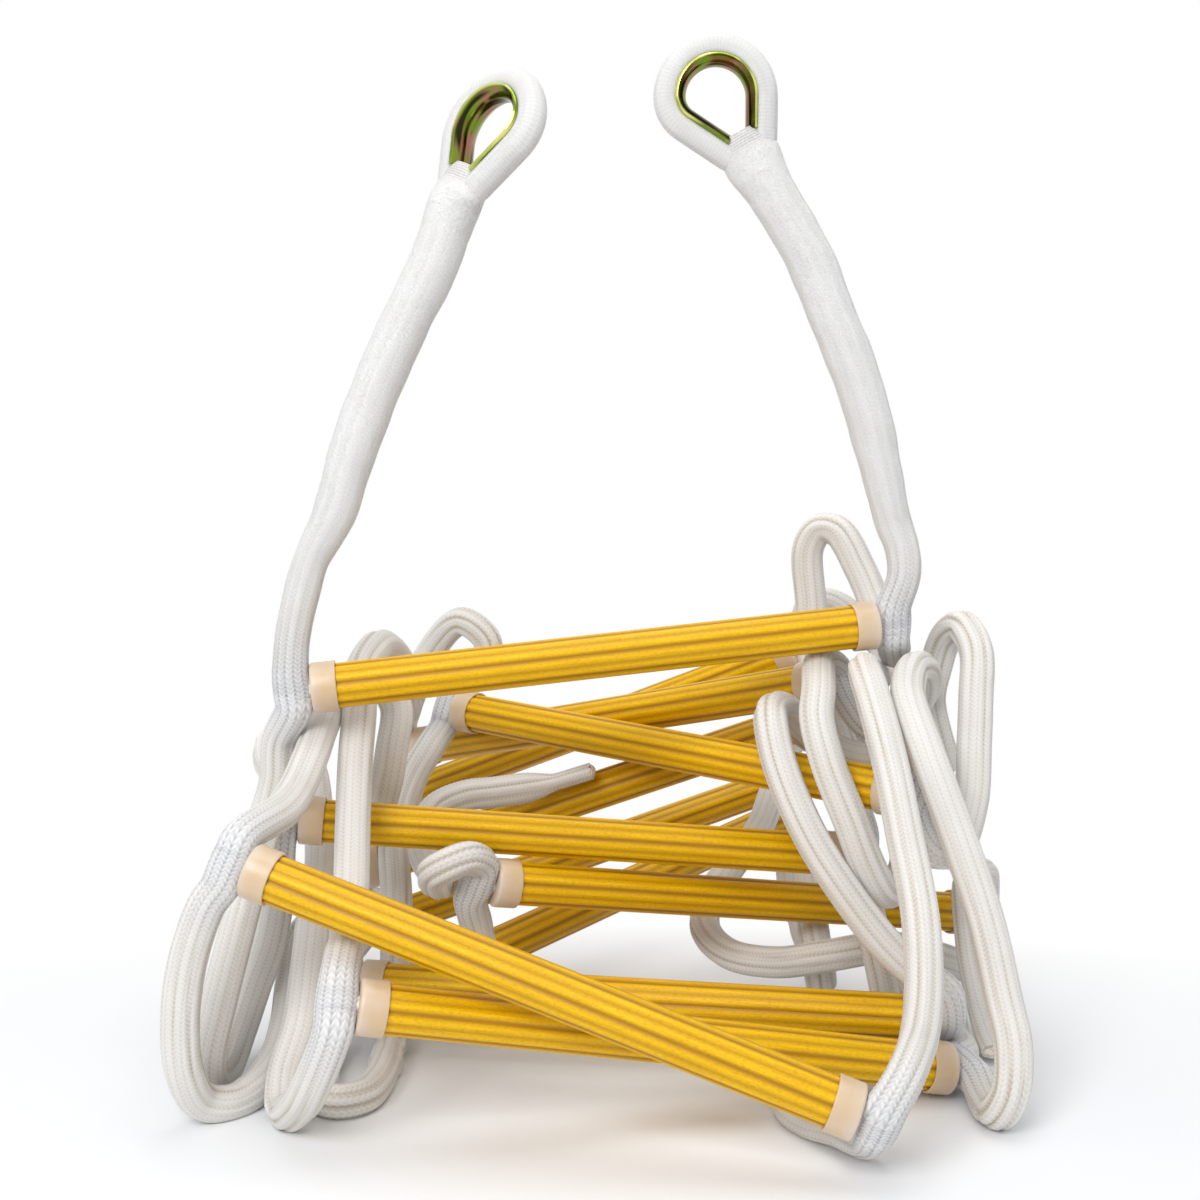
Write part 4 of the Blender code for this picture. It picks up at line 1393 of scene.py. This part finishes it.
@dataclass
class SideRope:
    """One rope of the ladder, from the throat of its eye to its free end."""

    side: Side
    stops: tuple[Stop, ...]
    splice: SpliceRoute
    diameter: float = 18.0 * MM
    splice_diameter: float = 26.5 * MM
    hold_gap: float = 1.5 * MM
    stretches: tuple[int, ...] = (3, 6, 9)
    straight: float = 4.0
    swing_reach: float = 24.0 * MM
    leg_from: float = 26.0 * MM
    throat_drops: Point = (24.0, 36.0, 46.0)
    throat_diameter: float = 27.0 * MM
    fine_stop: float = 15.0 * MM
    tip_run: float = 48.0 * MM
    path_spacing: float = 4.0 * MM
    braid: Braid = Braid()

    def line(self, poses: Sequence[RungPose]) -> tuple[list[Vector], list[float], dict[int, int]]:
        """Points of the whole rope from the throat to its free end.

        Args:
            poses: where the rungs lie.

        Returns:
            The points, the diameter at each, and the index of each hold's middle.
        """
        frame = self.splice.frame()
        points = [frame @ Vector((0.0, -drop * MM, 0.0)) for drop in self.throat_drops]
        widths = [self.throat_diameter] * len(points)
        for x, y, z, share in reversed(self.splice.leg):
            points.append(LAYOUT.place((x, y, z)))
            widths.append(share * self.splice_diameter)
        points.append(LAYOUT.place(self.splice.swing))
        widths.append(self.diameter)
        holds: dict[int, int] = {}
        for stop in self.stops[1:]:
            if not isinstance(stop, Hold):
                points.append(LAYOUT.place(stop))
                widths.append(self.diameter)
                continue
            pose = poses[stop.rung - 1]
            out = pose.outward(self.side)
            centre = pose.end(self.side) + out * (self.diameter / 2.0 + self.hold_gap)
            way = Vector(stop.way)
            way = (way - pose.axis * way.dot(pose.axis)).normalized()
            holds[stop.rung] = len(points) + 2
            for step in (-stop.half, -self.straight, 0.0, self.straight, stop.half):
                points.append(centre + way * step * MM)
                widths.append(self.diameter)
        return points, widths, holds

    def build(self, finishes: Finishes, poses: Sequence[RungPose]) -> None:
        """Add the rope's leg, its stretches and its eye.

        Args:
            finishes: the ladder's materials.
            poses: where the rungs lie.
        """
        side = self.side.value
        points, widths, holds = self.line(poses)
        samples, marks = smooth_line(points)
        frame = self.splice.frame().to_3x3()
        track = Track(samples, frame @ Vector((1.0, 0.0, 0.0)))
        where = [track.along[mark] for mark in marks]
        grips = [Grip(where[index], -poses[rung - 1].outward(self.side)) for rung, index in holds.items()]
        cuts = [where[holds[rung]] for rung in (1, *self.stretches)] + [track.length]
        skin = RopeSkin(track, self.braid, (where, widths), grips, cuts[0] - self.fine_stop, self.tip_run)
        leg_mesh = skin.mesh(f"{side}_leg_mesh", self.leg_from, cuts[0])
        leg = add_piece(f"{side}_leg", leg_mesh, finishes.smooth_rope)
        Body.leg(self.side).value
        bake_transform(leg)
        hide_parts(f"{side}_eye_splice")
        for number, (start, stop) in enumerate(zip(cuts, cuts[1:]), 1):
            name = f"{side}_rope_stretch_{number}"
            piece = add_piece(name, skin.mesh(f"{name}_mesh", start, stop), finishes.rope)
            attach(piece, Body.PILE.value)
            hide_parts(f"{side}_side_rope_{number}")
            free = number == len(cuts) - 1
            with_pieces = [self.melted_tip(track, finishes)] if free else []
        EyeSplice(self.splice).build(finishes, track, widths[len(self.throat_drops)] / 2.0)

    def melted_tip(self, track: Track, finishes: Finishes) -> bpy.types.Object:
        """Add the melted cap on the rope's free end.

        Args:
            track: middle line of the rope.
            finishes: the ladder's materials.

        Returns:
            The cap, which rides with the pile.
        """
        end = Vector(track.centres[-1])
        way = Vector(track.tangents[-1])
        across = way.cross(Vector((0.0, 0.0, 1.0))).normalized()
        turn = Matrix((across, way.cross(across), way)).transposed().to_4x4()
        shape = bmesh.new()
        bmesh.ops.create_uvsphere(shape, u_segments=36, v_segments=18, radius=self.diameter / 2.0)
        for vert in shape.verts:
            angle = math.atan2(vert.co.y, vert.co.x)
            vert.co.z *= 0.22 + 0.04 * math.sin(3.0 * angle)
            vert.co.x *= 1.02
            vert.co.y *= 0.36
        mesh = finish_mesh(shape, f"{self.side.value}_rope_tip_mesh", 70.0)
        mesh.transform(Matrix.Translation(end) @ turn)
        for vert in mesh.vertices:
            vert.co.z = max(vert.co.z, 0.0)
        piece = add_piece(f"{self.side.value}_rope_tip", mesh, finishes.melted)
        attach(piece, Body.PILE.value)
        return piece


# Studio


@dataclass
class Studio:
    """Camera, pale floor and soft light."""

    camera_place: Point = (-0.0105, -0.9067, 0.3502)
    camera_pitch: float = math.radians(84.0)
    lens: float = 45.0
    sensor: float = 36.0
    floor_size: float = 5.0
    floor_drop: float = 0.3 * MM
    floor_colour: Colour = rgba(236, 238, 241)
    fade_from: float = 0.14
    fade_to: float = 0.32
    world_light: float = 0.58
    aim: Point = (0.0, 0.0, 0.2)
    lamps: tuple[tuple[str, Point, float, float], ...] = (
        ("soft_key", (-0.55, -1.35, 1.25), 19.0, 0.9),
        ("soft_top", (0.2, 0.0, 1.7), 8.0, 1.0),
    )

    def camera(self) -> None:
        """Stand the camera where the photograph was taken from."""
        data = bpy.data.cameras.new("studio_camera")
        data.lens = self.lens
        data.sensor_width = self.sensor
        camera = bpy.data.objects.new("studio_camera", data)
        camera.location = self.camera_place
        camera.rotation_euler = (self.camera_pitch, 0.0, 0.0)
        bpy.context.scene.collection.objects.link(camera)
        bpy.context.scene.camera = camera

    def lamp(self, name: str, place: Point, power: float, size: float) -> None:
        """Hang a square soft lamp that looks at the middle of the pile.

        Args:
            name: name of the lamp.
            place: where it hangs.
            power: its power in watts.
            size: length of its side.
        """
        data = bpy.data.lights.new(name, "AREA")
        data.energy = power
        data.size = size
        lamp = bpy.data.objects.new(name, data)
        lamp.location = place
        aim = Vector(self.aim) - Vector(place)
        lamp.rotation_euler = aim.to_track_quat("-Z", "Y").to_euler()
        bpy.context.scene.collection.objects.link(lamp)

    def floor(self) -> None:
        """Lay a floor that keeps the shadow and fades to white away from the ladder."""
        shape = bmesh.new()
        bmesh.ops.create_grid(shape, x_segments=4, y_segments=4, size=self.floor_size)
        bmesh.ops.translate(shape, verts=shape.verts, vec=(0.0, 0.0, -self.floor_drop))
        mesh = bpy.data.meshes.new("studio_floor")
        shape.to_mesh(mesh)
        shape.free()
        graph = MaterialGraph("studio_floor")
        place = graph.coordinates("Object")
        far = graph.add("ShaderNodeVectorMath", {"operation": "LENGTH"})
        shifted = graph.add("ShaderNodeMapping", Location=(0.0, 0.16, 0.0), Scale=(0.5, 1.0, 0.0))
        graph.join(place, shifted.inputs["Vector"])
        graph.join(shifted.outputs[0], far.inputs[0])
        fade = graph.ramp(far.outputs["Value"], self.fade_from, self.fade_to)
        graph.settle(Base_Color=self.floor_colour, Roughness=0.9)
        white = graph.add("ShaderNodeEmission")
        white.inputs["Color"].default_value = (1.0, 1.0, 1.0, 1.0)
        blend = graph.add("ShaderNodeMixShader")
        graph.join(graph.maths("MULTIPLY", fade, graph.seen()), blend.inputs[0])
        graph.join(graph.shader.outputs[0], blend.inputs[1])
        graph.join(white.outputs[0], blend.inputs[2])
        graph.join(blend.outputs[0], graph.tree.nodes["Material Output"].inputs["Surface"])
        mesh.materials.append(graph.material)
        floor = bpy.data.objects.new("studio_floor", mesh)
        bpy.context.scene.collection.objects.link(floor)

    def world(self) -> None:
        """Light from all round, seen as plain white."""
        world = bpy.data.worlds.new("studio_world")
        world.use_nodes = True
        graph = Graph(world.node_tree)
        level = graph.add("ShaderNodeMapRange", To_Min=self.world_light)
        graph.join(graph.seen(), level.inputs["Value"])
        back = graph.tree.nodes["Background"]
        back.inputs["Color"].default_value = (1.0, 1.0, 1.0, 1.0)
        graph.join(level.outputs["Result"], back.inputs["Strength"])
        bpy.context.scene.world = world

    def build(self) -> None:
        """Set up the studio."""
        bpy.context.scene.view_settings.view_transform = "Standard"
        self.camera()
        self.world()
        self.floor()
        for lamp in self.lamps:
            self.lamp(*lamp)
        LOG.info("studio: camera, floor and %d lamps", len(self.lamps))


@dataclass
class EscapeLadder:
    """The whole ladder: its rungs and its two side ropes."""

    finishes: Finishes = field(default_factory=Finishes)
    rung_length: float = 320.0 * MM

    def build(self) -> None:
        """Add every piece, ropes first."""
        poses = [RungPose(number, ends, self.rung_length) for number, ends in enumerate(RUNG_ENDS, 1)]
        for splice, stops in zip(SPLICES, (LEFT_ROUTE, RIGHT_ROUTE)):
            SideRope(splice.side, stops, splice).build(self.finishes, poses)
        for pose in poses:
            Rung(pose).build(self.finishes)


def main() -> None:
    """Build the studio and the ladder."""
    logging.basicConfig(level=logging.INFO, format="%(name)s: %(message)s")
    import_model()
    Studio().build()
    EscapeLadder().build()


if __name__ == "__main__":
    main()
